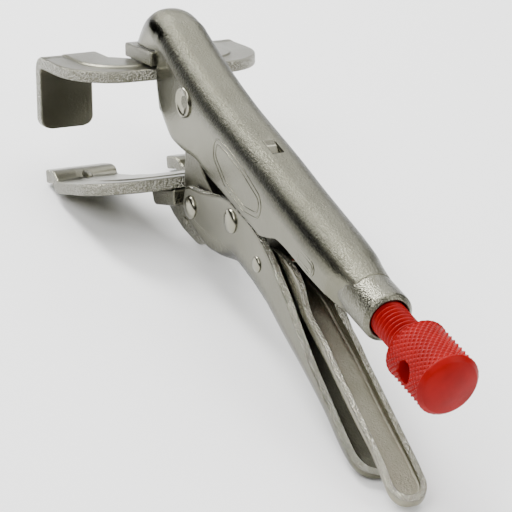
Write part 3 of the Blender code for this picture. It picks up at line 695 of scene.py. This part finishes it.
# %% Release lever
LEVER_RIM = smooth_line([(-139.4, -43.9), (-134.0, -41.4), (-129.5, -39.3), (-124, -37.2), (-119, -35.5),
                         (-112.5, -33.2), (-106, -30.9), (-98.8, -28.4), (-92.9, -26.0), (-86.5, -24.1),
                         (-82.7, -23.2), (-79.8, -21.6), (-77.5, -19.3), (-75.5, -17.2), (-72.5, -15.7),
                         (-67.0, -14.9), (-60, -15.6), (-54, -17.4), (-50.9, -19.6)])
LEVER_FLOOR = smooth_line([(-139.4, -45.3), (-138.5, -45.9), (-134, -44.4), (-127.5, -41.8), (-122.5, -40.1),
                           (-117, -38.5), (-110, -36.3), (-103.6, -34.0), (-95, -31.0), (-87, -28.8),
                           (-81, -27.2), (-75.8, -25.8), (-71, -25.2), (-60, -25.4), (-54, -25.0),
                           (-50.9, -23.0)])
LEVER_CORNER = smooth_line([(-140, 1.5), (-130, 2.4), (-50, 2.6)])
LEVER = spoon_channel("release_lever", LEVER_RIM, LEVER_FLOOR, -51.0, -134.0, 5.4, 5.4, 1.8,
                      LEVER_CORNER, spread=0.05)
cut_away(LEVER, block_cutter("lever_gap", (-63.0, -3.6, -50), (-40, 3.6, 5)))
finished(LEVER, LEVER_STEEL, "release_lever", "satin_nickel", "release_lever")

# %% [markdown]
# ## Fork jaws
#
# Each fork is a thick plate, cut to a U. The plate is a band carried round the U: every station joins a
# point on the slot's edge to one on the outer edge, and a section with rounded edges and a coined step
# stands on that line. The same band turns down into the upper pads, and ramps up into the lower lips.

# %% A band of plate carried round a U


def jaw_frame(pitch):
    """Maps (forward, left, up) of a jaw, pitched down about the jaw pivot, to X, Y, Z."""
    c, s = math.cos(math.radians(pitch)), math.sin(math.radians(pitch))
    return np.array([[c, 0, -s], [0, 1, 0], [s, 0, c]])


def band_section(width, step_depth):
    """Distance across and height of the plate's closed section, for arrays of width and step depth."""
    one, w, d = np.ones_like(width), width, step_depth
    coin = 7.4
    over = [(0.10, 1.75), (0.28, 1.93), (0.60, 2.0)]
    top = [(a * one, h * one) for a, h in over]
    top += [((w - coin) * 0.35, 2 * one), ((w - coin) * 0.75, 2 * one), (w - coin - 0.5, 2 * one)]
    top += [(w - coin - 0.2, 2 - 0.06 * d / 0.5), (w - coin, 2 - d / 2), (w - coin + 0.2, 2 - d + 0.04),
            (w - coin + 0.5, 2 - d), (w - coin * 0.5, 2 - d), (w - 0.9, 2 - d)]
    top += [(w - a, h - d) for a, h in over[::-1]]
    side = [(w, 1.3 - d), (w, 0 * one), (w, -1.4 * one)]
    below = [(w - a, -h * one) for a, h in over]
    below += [(w * 0.7, -2 * one), (w * 0.3, -2 * one)]
    below += [(a * one, -h * one) for a, h in over[::-1]]
    below += [(0 * one, -1.4 * one), (0 * one, 0 * one), (0 * one, 1.4 * one)]
    pairs = top + side + below
    edge = np.zeros((width.size, len(pairs)))
    edge[:, len(top) - 1:len(top) + 4] = 1
    edge[:, -3:] = 1
    return np.stack([p[0] for p in pairs], 1), np.stack([p[1] for p in pairs], 1), edge


def rounded_end(distance, radius):
    """How far a rounded corner draws the sides in, at a distance from the end of the band."""
    gone = np.clip(radius - distance, 0, radius)
    return radius - np.sqrt(radius**2 - gone**2)


def band(name, inner, outer, up, step_depth, pitch):
    """A fork from its left half: arrays of inner points, outer points and plate normals, then mirrored."""
    mirror = np.array([1, -1, 1])
    inner = np.concatenate([inner[::-1] * mirror, inner[1:]])
    outer = np.concatenate([outer[::-1] * mirror, outer[1:]])
    up = np.concatenate([up[::-1], up[1:]])
    step_depth = np.concatenate([step_depth[::-1], step_depth[1:]])
    reach = outer - inner
    width = np.linalg.norm(reach, axis=1)
    a, h, edge = band_section(width, step_depth)
    rings = inner[:, None] + reach[:, None] * (a / width[:, None])[..., None] + up[:, None] * h[..., None]
    piece = ring_piece(name, rings @ jaw_frame(pitch), {"rim": edge})
    even_shading(piece)
    print(name, len(piece.data.polygons), "faces")
    return piece


def route(points, count):
    """Points evenly spaced along a polyline."""
    points = np.array(points, float)
    length = np.concatenate([[0], np.cumsum(np.linalg.norm(np.diff(points, axis=0), axis=1))])
    at = np.linspace(0, length[-1], count)
    return np.stack([np.interp(at, length, points[:, i]) for i in range(points.shape[1])], 1)


def arc(centre, radius, start, end, count=16):
    """Points of an arc in a plane, between two angles in degrees."""
    angle = np.radians(np.linspace(start, end, count))
    return np.array(centre) + radius * np.stack([np.cos(angle), np.sin(angle)], 1)


def oval(centre, reach, start, end, count=16):
    """Points of an ellipse in a plane, between two angles in degrees."""
    angle = np.radians(np.linspace(start, end, count))
    return np.array(centre) + np.array(reach) * np.stack([np.cos(angle), np.sin(angle)], 1)


def on_profile(flat, path, path_up, along):
    """Lifts plan points (along, y) onto a bent profile: path gives forward and up for a developed length."""
    s = flat[:, 0]
    forward = np.interp(s, along, path[:, 0])
    height = np.interp(s, along, path[:, 1])
    up = np.stack([np.interp(s, along, path_up[:, 0]), 0 * s, np.interp(s, along, path_up[:, 1])], 1)
    return np.stack([forward, flat[:, 1], height], 1), up / np.linalg.norm(up, axis=1)[:, None]


def profile_normals(path):
    """The upward normal of a polyline in the forward-up plane, and its running length."""
    ahead = np.gradient(path, axis=0)
    up = np.stack([-ahead[:, 1], ahead[:, 0]], 1) / np.linalg.norm(ahead, axis=1)[:, None]
    along = path[0, 0] + np.concatenate([[0], np.cumsum(np.linalg.norm(np.diff(path, axis=0), axis=1))])
    return up, along


# %% [markdown]
# ## Upper fork
#
# The rear of the U is a wide oval, the arms run forward, and each ends in a pad turned down over a small
# bend. A bent plate could be made by folding a flat mesh with a modifier, but stations on a developed
# length do the same in one formula and keep the plate's thickness true round the bend.

# %% Upper fork
UPPER_PITCH = 16.5
UPPER_MIDDLE = 4.7  # height of the plate's middle over the jaw pivot


def upper_fork():
    """The upper band: its plan is laid on a profile that runs level and turns down through 90 degrees."""
    straight = np.array([(15.0, UPPER_MIDDLE), (40.0, UPPER_MIDDLE), (52.6, UPPER_MIDDLE)])
    turn_down = arc((52.6, UPPER_MIDDLE - 3.4), 3.4, 90, 0, 14)
    pad = np.array([(56.0, -4.0), (56.0, -10.0), (56.0, -16.1)])
    path = np.concatenate([straight, turn_down[1:], pad])
    path_up, along = profile_normals(path)
    path_up[:2] = (0, 1)
    path_up[-2:] = (1, 0)
    end = along[-1]
    rear = np.concatenate([[(20.5, 0.0), (20.6, 9.0)], oval((41.0, 15.5), (20.1, 16.0), 178, 91, 30)])
    outer_corner = route(rear[1:], 40)
    inner_corner = route(np.concatenate([[(36.6, 0.1), (36.6, 2.0), (36.7, 6.0)],
                                         arc((40.4, 6.6), 3.6, 178, 120, 6),
                                         arc((38.2, 14.6), 4.0, -48, -8, 8), [(43.0, 13.6)]]), 40)
    root_out = route([(20.5, 0.0), (20.6, 9.0)], 8)
    root_in = np.stack([np.full(8, 36.6), np.linspace(0, 0.1, 8)], 1)
    arm_at = np.linspace(0, 1, 60)[1:] ** 0.8
    arm_out = np.stack([41.0 + (end - 41.0) * arm_at, np.full(59, 31.5)], 1)
    arm_in = np.stack([43.0 + (end - 43.0) * arm_at, np.full(59, 13.6)], 1)
    draw = rounded_end(end - arm_out[:, 0], 3.2)
    draw_in = rounded_end(end - arm_in[:, 0], 3.2)
    arm_out[:, 1] -= np.minimum(draw, 3.1)
    arm_in[:, 1] += np.minimum(draw_in, 3.1) + 0.9 * np.clip((arm_in[:, 0] - 52) / 6, 0, 1)
    outer_flat = np.concatenate([root_out[:-1], outer_corner, arm_out])
    inner_flat = np.concatenate([root_in[:-1], inner_corner, arm_in])
    outer, up = on_profile(outer_flat, path, path_up, along)
    inner, _ = on_profile(inner_flat, path, path_up, along)
    step = 0.5 * np.clip((56 - outer_flat[:, 0]) / 6, 0, 1)
    return band("upper_jaw_fork", inner, outer, up, step, UPPER_PITCH)


finished(upper_fork(), PLATE_STEEL, "upper_body", "satin_nickel", "upper_jaw_fork")

# %% [markdown]
# ## Lower fork
#
# The same U on the lower jaw. Its arms don't turn down: they ramp up to a flat lip that meets the upper
# pads. The ramp's height follows s - sin(2 pi s) / (2 pi), which starts and ends level, and a small
# pressed dart stiffens its foot.

# %% Lower fork
LOWER_PITCH = 27.0
LOWER_MIDDLE = -23.4


def lower_fork():
    """The lower band: its plan is laid on a profile that ramps up by rise to a level lip."""
    rise = 3.0
    s = np.linspace(0, 1, 18)
    climb = s - np.sin(2 * math.pi * s) / (2 * math.pi)
    ramp = np.stack([47.6 + 8.0 * s, LOWER_MIDDLE + rise * climb], 1)
    path = np.concatenate([[(5.0, LOWER_MIDDLE), (30.0, LOWER_MIDDLE), (46.5, LOWER_MIDDLE)], ramp,
                           [(58.0, LOWER_MIDDLE + rise), (60.9, LOWER_MIDDLE + rise)]])
    path_up, along = profile_normals(path)
    path_up[:2] = path_up[-2:] = (0, 1)
    end = along[-1]
    outer_corner = route(np.concatenate([[(12.0, 7.0)], oval((31.0, 15.0), (18.4, 16.0), 178, 91, 30)]), 40)
    inner_corner = route(np.concatenate([[(30.2, 0.1), (30.3, 4.0)], arc((34.4, 5.0), 4.0, 176, 130, 6),
                                         arc((32.4, 12.0), 4.6, -46, -10, 8), [(38.0, 10.6)]]), 40)
    root_out = route([(12.0, 0.0), (12.0, 7.0)], 8)
    root_in = np.stack([np.full(8, 30.2), np.linspace(0, 0.1, 8)], 1)
    arm_at = np.linspace(0, 1, 70)[1:]
    arm_out = np.stack([31.0 + (end - 31.0) * arm_at, 31.0 - 0.9 * np.clip((arm_at - 0.6) / 0.3, 0, 1)], 1)
    arm_in = np.stack([38.0 + (end - 38.0) * arm_at, 10.6 - 0.6 * np.clip((arm_at - 0.5) / 0.3, 0, 1)], 1)
    arm_out[:, 1] -= rounded_end(end - arm_out[:, 0], 1.2) * 0.95
    arm_in[:, 1] += rounded_end(end - arm_in[:, 0], 1.2) * 0.95
    outer_flat = np.concatenate([root_out[:-1], outer_corner, arm_out])
    inner_flat = np.concatenate([root_in[:-1], inner_corner, arm_in])
    outer, up = on_profile(outer_flat, path, path_up, along)
    inner, _ = on_profile(inner_flat, path, path_up, along)
    step = 0.35 * np.clip((50 - outer_flat[:, 0]) / 6, 0, 1)
    return band("lower_jaw_fork", inner, outer, up, step, LOWER_PITCH)


finished(lower_fork(), PLATE_STEEL, "lower_jaw", "satin_nickel", "lower_jaw_fork")


def dart(side):
    """A low dome on the ramp: an ellipsoid of three half lengths, mostly sunk in the plate."""
    turn = np.linspace(0, math.pi, 13)[1:-1, None]
    angle = np.linspace(0, 2 * math.pi, 24, endpoint=False)[None]
    forward = 51.0 + 3.4 * np.cos(turn) + 0 * angle
    across = side * 20.5 + 1.7 * np.sin(turn) * np.cos(angle)
    up = LOWER_MIDDLE + 3.0 + 0.30 * (forward - 51.0) + 0.75 * np.sin(turn) * np.sin(angle)
    return ring_piece("ramp_dart", np.stack([forward, across, up], -1) @ jaw_frame(LOWER_PITCH))


for side in (1, -1):
    finished(dart(side), PLATE_STEEL, "lower_jaw", "satin_nickel")

# %% [markdown]
# ## Blocks, web, jaw and link
#
# These are sawn or forged bars whose sides are flat. Each is an outline in the tool's middle plane made
# thick across it, with a small round on every edge that catches a line of light.

# %% Flat-sided pieces
def in_jaw(corners, pitch):
    """Outline corners given as (forward, up, radius) in a jaw's frame, as (x, z, radius)."""
    flat = np.array([(f, 0.0, u) for f, u, _ in corners]) @ jaw_frame(pitch)
    return [(x, z, r) for (x, _, z), (_, _, r) in zip(flat.tolist(), corners)]


UPPER_BLOCK = plate("upper_jaw_block", in_jaw([(20.3, 6.9, 0.7), (40.0, 6.9, 0.7), (40.0, 11.15, 0.7),
                                               (20.3, 11.15, 0.7)], UPPER_PITCH), 9.55, 0.6)
finished(UPPER_BLOCK, FORGED_STEEL, "upper_body", "satin_nickel", "upper_jaw_block")
WEB = plate("jaw_throat_web", in_jaw([(10.5, 2.4, 1), (26.6, 2.4, 1), (26.5, 0.6, 1.2), (24.7, -6.9, 1.4),
                                      (21.2, -8.6, 1.4), (11.5, -6.0, 1)], UPPER_PITCH), 5.4, 0.5)
finished(WEB, FORGED_STEEL, "upper_body", "satin_nickel", "jaw_throat_web")
TANG = plate("lower_jaw", [(-5.1, 5.1, 5), (5.1, 5.1, 5), (5.3, -13, 4), (1.0, -18, 4), (0.3, -24.3, 0.6),
                           (-1.3, -28.0, 0.5), (12.4, -35.2, 0.8), (11.2, -37.6, 1.2), (4.8, -39.8, 4),
                           (-3, -40.6, 7), (-14, -39.9, 8), (-24.8, -33.0, 5), (-23.4, -21.5, 4),
                           (-13.0, -17.9, 5), (-6.6, -14.2, 4), (-5.8, -5.0, 4)], 5.4, 0.5)
finished(TANG, FORGED_STEEL, "lower_jaw", "satin_nickel", "lower_jaw")
for number, (x, z) in enumerate(((-4.2, -37.2), (-16.2, -36.2))):
    outline = [(x - 1.5, z - 0.6, 0.5), (x + 1.5, z - 0.9, 0.5), (x + 1.3, z + 0.9, 0.5),
               (x - 1.3, z + 1.1, 0.5)]
    mark = plate(f"forging_mark_{number}", outline, 5.65, 0.2)
    finished(mark, RIVET_STEEL, "lower_jaw", "satin_nickel")
LOWER_BLOCK = plate("lower_jaw_block", in_jaw([(10.7, -30.2, 1.2), (26.3, -30.2, 1.8), (27.5, -25.5, 0.7),
                                               (10.7, -25.5, 0.6)], LOWER_PITCH), 9.5, 0.6)
finished(LOWER_BLOCK, FORGED_STEEL, "lower_jaw", "satin_nickel")


def link_outline():
    """The link's outline, laid along the line from its rivet to the tip of the screw."""
    start, end = np.array(pivot("link_pivot")), np.array((-71.0, -5.3))
    length = float(np.linalg.norm(end - start))
    ahead = (end - start) / length
    across = np.array([-ahead[1], ahead[0]])
    corners = [(-4.6, -4.6, 4.5), (-4.6, 4.6, 4.5), (8, 3.2, 6), (length - 8, 2.6, 6), (length + 3, 3.4, 3),
               (length + 3, -3.4, 3), (length - 8, -2.6, 6), (8, -3.2, 6)]
    return [(*(start + ahead * a + across * b), r) for a, b, r in corners]


LINK = plate("toggle_link", link_outline(), 2.8, 0.4)
finished(LINK, FORGED_STEEL, "toggle_link", "satin_nickel", "toggle_link")
print("flat-sided pieces made")

# %% [markdown]
# ## Rivets
#
# Four rivets run right through. The jaw's has a flat head with a dished centre. The others are peened to
# low domes. Each is turned from a half profile mirrored to the other side.

# %% Rivets
def rivet(name, joint_place, shank, head, rise, dished, body):
    """Turns a rivet across the tool: a cap that is a dish (depth as t squared) or a dome, then its mirror."""
    x0, z0 = joint_place
    if dished:
        a = np.linspace(0, 1, 7)
        cap = [(HALF + rise * (0.92 * t * t - 0.25), head * 0.80 * t) for t in a]
        cap += [(HALF + rise, head * 0.88), (HALF + rise * 0.92, head * 0.95), (HALF + rise * 0.6, head)]
    else:
        a = np.linspace(0, math.pi / 2 * 0.94, 12)
        cap = [(HALF + 0.12 + (rise - 0.12) * math.cos(t), head * math.sin(t)) for t in a]
        cap += [(HALF + 0.14, head)]
    cap += [(HALF - 0.4, head * 0.98), (HALF - 0.6, shank)]
    profile = cap + [(-y, r) for y, r in cap[::-1]]

    def along_y(y, a, b):
        """Places the turned profile across the tool, at the rivet's X and Z."""
        return np.stack([x0 + a, y, z0 + b], -1)

    finished(turned(name, profile, along_y, 48), RIVET_STEEL, body, "bright_nickel", name)


rivet("jaw_pivot_rivet", (0.0, 0.0), 3.2, 4.5, 0.8, True, "upper_body")
rivet("handle_pivot_rivet", pivot("handle_pivot"), 2.4, 3.4, 1.4, False, "lower_jaw")
rivet("link_rivet", pivot("link_pivot"), 2.4, 3.55, 1.4, False, "lower_handle")
rivet("release_lever_rivet", pivot("release_pivot"), 1.6, 2.25, 0.9, False, "lower_handle")
print("rivets made")

# %% [markdown]
# ## Adjusting screw and knob
#
# A thread is a radius that depends on where you are along the rod less the turn you have made, so the
# whole helix is one formula on a grid. The knurl is two such helices, one left-hand and one right-hand,
# and the lower of the two ridges at each point leaves rows of small diamonds.

# %% Threaded rod
SCREW_RADIUS, PITCH = 5.0, 1.5
KNOB_FRONT, KNOB_BACK, KNOB_RADIUS = -127.0, -146.0, 8.75


def zigzag(value):
    """0 at whole numbers, 1 halfway between them."""
    return 1 - np.abs(2 * (value - np.floor(value)) - 1)


def threaded_rod():
    """Radius = root + height * ridge, where ridge is a zigzag of x / PITCH + turns made."""
    x = np.linspace(KNOB_FRONT + 0.2, -77.2, 380)[:, None]
    angle = np.linspace(0, 2 * math.pi, 56, endpoint=False)[None]
    ridge = np.clip(zigzag(x / PITCH + angle / (2 * math.pi)) * 1.35 - 0.12, 0, 1)
    ridge = np.where(x < -88, ridge, 0.15 + 0 * ridge)
    ends = np.clip(np.minimum(x - x[0], x[-1] - x) / 0.8, 0, 1)
    radius = SCREW_RADIUS - 0.92 + 0.92 * ridge * ends - 0.5 * (1 - ends)
    rings = along_x(x + 0 * angle, radius * np.cos(angle), radius * np.sin(angle))
    return ring_piece("adjusting_screw", rings, {"crest": np.clip(ridge * 1.5 - 0.8, 0, 1) * 0.5})


finished(threaded_rod(), RED, "adjusting_screw", "red_coating", "adjusting_screw")

# %% [markdown]
# ## Knurled knob
#
# The knurl is cut by two helices that lean opposite ways. Taking the lower ridge at each point leaves the
# diamonds. A cross hole runs right through for a bar, cut with one Boolean, since a hole across a grid of
# fine ridges can't be drawn along the grid itself.

# %% Knurled knob
def knob():
    """Radius = KNOB_RADIUS - depth * (1 - ridge), where ridge is the lower of two crossing helices."""
    length = KNOB_FRONT - KNOB_BACK
    s = np.concatenate([np.linspace(0, 1.4, 6), np.linspace(1.5, length - 1.7, 120),
                        np.linspace(length - 1.6, length, 6)])
    x = (KNOB_BACK + s)[:, None]
    angle = np.linspace(0, 2 * math.pi, 320, endpoint=False)[None]
    around, lead = 32, 0.58
    turn = around * angle / (2 * math.pi)
    ridge = np.minimum(zigzag(turn + lead * x), zigzag(turn - lead * x))
    chamfer_rear = np.clip(1.4 - s, 0, 1.4)[:, None]
    chamfer_front = np.clip(s - (length - 1.6), 0, 1.6)[:, None] * 1.1
    cut = np.clip(np.minimum(s - 1.3, length - 1.5 - s) / 0.5, 0, 1)[:, None]
    radius = KNOB_RADIUS - 0.55 * cut * (1 - ridge) - chamfer_rear - chamfer_front
    rings = along_x(x + 0 * angle, radius * np.cos(angle), radius * np.sin(angle))
    return ring_piece("screw_knob", rings, {"crest": cut * ridge**1.5})


def tommy_hole():
    """A cutter along Y: a straight hole that opens slightly at both mouths."""
    profile = [(-12, 3.6), (-8.6, 3.3), (-7.6, 3.0), (7.6, 3.0), (8.6, 3.3), (12, 3.6)]
    return turned("tommy_hole", profile, lambda y, a, b: np.stack([-136.8 + a, y, AXIS_Z + b], -1), 40)


KNOB = cut_away(knob(), tommy_hole())
finished(KNOB, RED, "screw_knob", "red_coating", "screw_knob")
print("knob", len(KNOB.data.polygons), "faces")

# %% [markdown]
# ## Tension spring
#
# Hidden inside the upper handle, it pulls the jaw open. A round wire is carried along a helix whose two
# ends run out to the middle as hooks.

# %% Spring
def tension_spring():
    """A round wire along a helix: each ring stands square to the helix, on its side and over directions."""
    front, rear, coil, wire, turns = -14.0, -36.5, 2.3, 0.45, 9
    t = np.linspace(0, 1, 330)
    wind = np.clip((t - 0.06) / 0.88, 0, 1)
    phase = 2 * math.pi * turns * wind
    ends = np.clip(np.minimum(t, 1 - t) / 0.06, 0, 1)
    x = front + 2.8 + (rear - front - 5.6) * t
    centre = np.stack([x, coil * ends * np.sin(phase), -0.6 + coil * ends * np.cos(phase)], 1)
    ahead = np.gradient(centre, axis=0)
    ahead /= np.linalg.norm(ahead, axis=1)[:, None]
    side = np.cross(ahead, (1.0, 0.02, 0.03))
    side /= np.linalg.norm(side, axis=1)[:, None]
    over = np.cross(side, ahead)
    angle = np.linspace(0, 2 * math.pi, 10, endpoint=False)[None, :, None]
    return ring_piece("tension_spring", centre[:, None] + wire * (side[:, None] * np.cos(angle)
                                                                   + over[:, None] * np.sin(angle)))


finished(tension_spring(), SPRING_STEEL, "upper_body", "spring_steel", "tension_spring")

# %% [markdown]
# ## Floor and light
#
# A pale floor and five soft lamps. Bare metal shows only what it mirrors, so the sky is graded from
# light overhead to nearly black at the sides. That draws faint dark bands along the rounded back, which
# the bend mask deepens with a painted dark reflection. The narrow ridge lamp, ahead and to the left, draws
# the bright line beside them.

# %% Floor and light
def pale_floor():
    """A wide plain plane just under the tool."""
    bpy.ops.mesh.primitive_plane_add(size=6, location=(0, 0, -0.0002))
    floor = bpy.context.object
    floor.name = "floor"
    paint = bpy.data.materials.new("pale_floor")
    paint.use_nodes = True
    shader = paint.node_tree.nodes["Principled BSDF"]
    shader.inputs["Base Color"].default_value = (0.93, 0.93, 0.93, 1)
    shader.inputs["Roughness"].default_value = 0.9
    floor.data.materials.append(paint)


def graded_sky():
    """A sky whose grey depends only on height: nearly black at the sides, light overhead."""
    world = bpy.data.worlds.new("soft_sky")
    bpy.context.scene.world = world
    world.use_nodes = True
    tree = world.node_tree
    place = add_node(tree, "ShaderNodeTexCoord")
    split = add_node(tree, "ShaderNodeSeparateXYZ")
    ramp = add_node(tree, "ShaderNodeValToRGB")
    tree.links.new(place.outputs["Generated"], split.inputs[0])
    tree.links.new(stretch(tree, split.outputs["Z"], -0.2, 1.0), ramp.inputs["Fac"])
    stops = ramp.color_ramp.elements
    stops[0].position, stops[0].color = 0.18, (0.015, 0.015, 0.012, 1)
    stops[1].position, stops[1].color = 0.85, (0.9, 0.9, 0.88, 1)
    low, middle = stops.new(0.42), stops.new(0.58)
    low.color = (0.02, 0.02, 0.018, 1)
    middle.color = (0.34, 0.34, 0.32, 1)
    tree.links.new(ramp.outputs["Color"], tree.nodes["Background"].inputs["Color"])
    tree.nodes["Background"].inputs["Strength"].default_value = 0.9


def soft_lamp(name, place, aim, size, power):
    """A rectangular lamp at a place in metres, turned to face its aim."""
    data = bpy.data.lights.new(name, "AREA")
    data.shape = "RECTANGLE"
    data.size, data.size_y = size
    data.energy = power
    lamp = bpy.data.objects.new(name, data)
    bpy.context.scene.collection.objects.link(lamp)
    back = np.array(place, float) - np.array(aim, float)
    back /= np.linalg.norm(back)
    right = np.cross((0, 0, 1.0), back)
    right /= np.linalg.norm(right)
    up = np.cross(back, right)
    lamp.matrix_world = Matrix([[right[i], up[i], back[i], place[i]] for i in range(3)] + [[0, 0, 0, 1]])


pale_floor()
graded_sky()
soft_lamp("key_left", (-0.35, 0.75, 0.85), (0, 0, 0.03), (0.7, 0.5), 10.0)
soft_lamp("top", (0.1, -0.05, 1.0), (0, 0, 0.03), (0.9, 0.9), 11.0)
soft_lamp("ridge", (0.82, 0.22, 0.66), (0, 0, 0.03), (0.22, 0.45), 17.0)
soft_lamp("front_right", (0.95, -0.60, 0.60), (0, 0, 0.03), (0.55, 0.70), 4.5)
soft_lamp("rear_right", (-0.7, -0.6, 0.5), (0, 0, 0.03), (0.4, 0.6), 5.0)

# %% [markdown]
# ## Camera
#
# A long lens stands behind the knob, above it and to its left, with its own roll. Its distance was chosen,
# and its directions were fitted to corners of the forks and to the screw, so they are given as they are.

# %% Camera
EYE = np.array((-562.3, 285.4, 315.2))
RIGHT, TOWARDS = (-0.418, -0.901, 0.113), (-0.760, 0.415, 0.501)


def camera():
    """Puts the camera at EYE, with its three directions made square to each other."""
    data = bpy.data.cameras.new("camera")
    data.lens, data.sensor_width = 172.27, 36.0
    seen_from = bpy.data.objects.new("camera", data)
    bpy.context.scene.collection.objects.link(seen_from)
    back = np.array(TOWARDS) / np.linalg.norm(TOWARDS)
    right = np.array(RIGHT) - back * (np.array(RIGHT) @ back)
    right /= np.linalg.norm(right)
    up = np.cross(back, right)
    place = (EYE + ORIGIN) * MM
    seen_from.matrix_world = Matrix([[right[i], up[i], back[i], place[i]] for i in range(3)] + [[0, 0, 0, 1]])
    bpy.context.scene.camera = seen_from


camera()
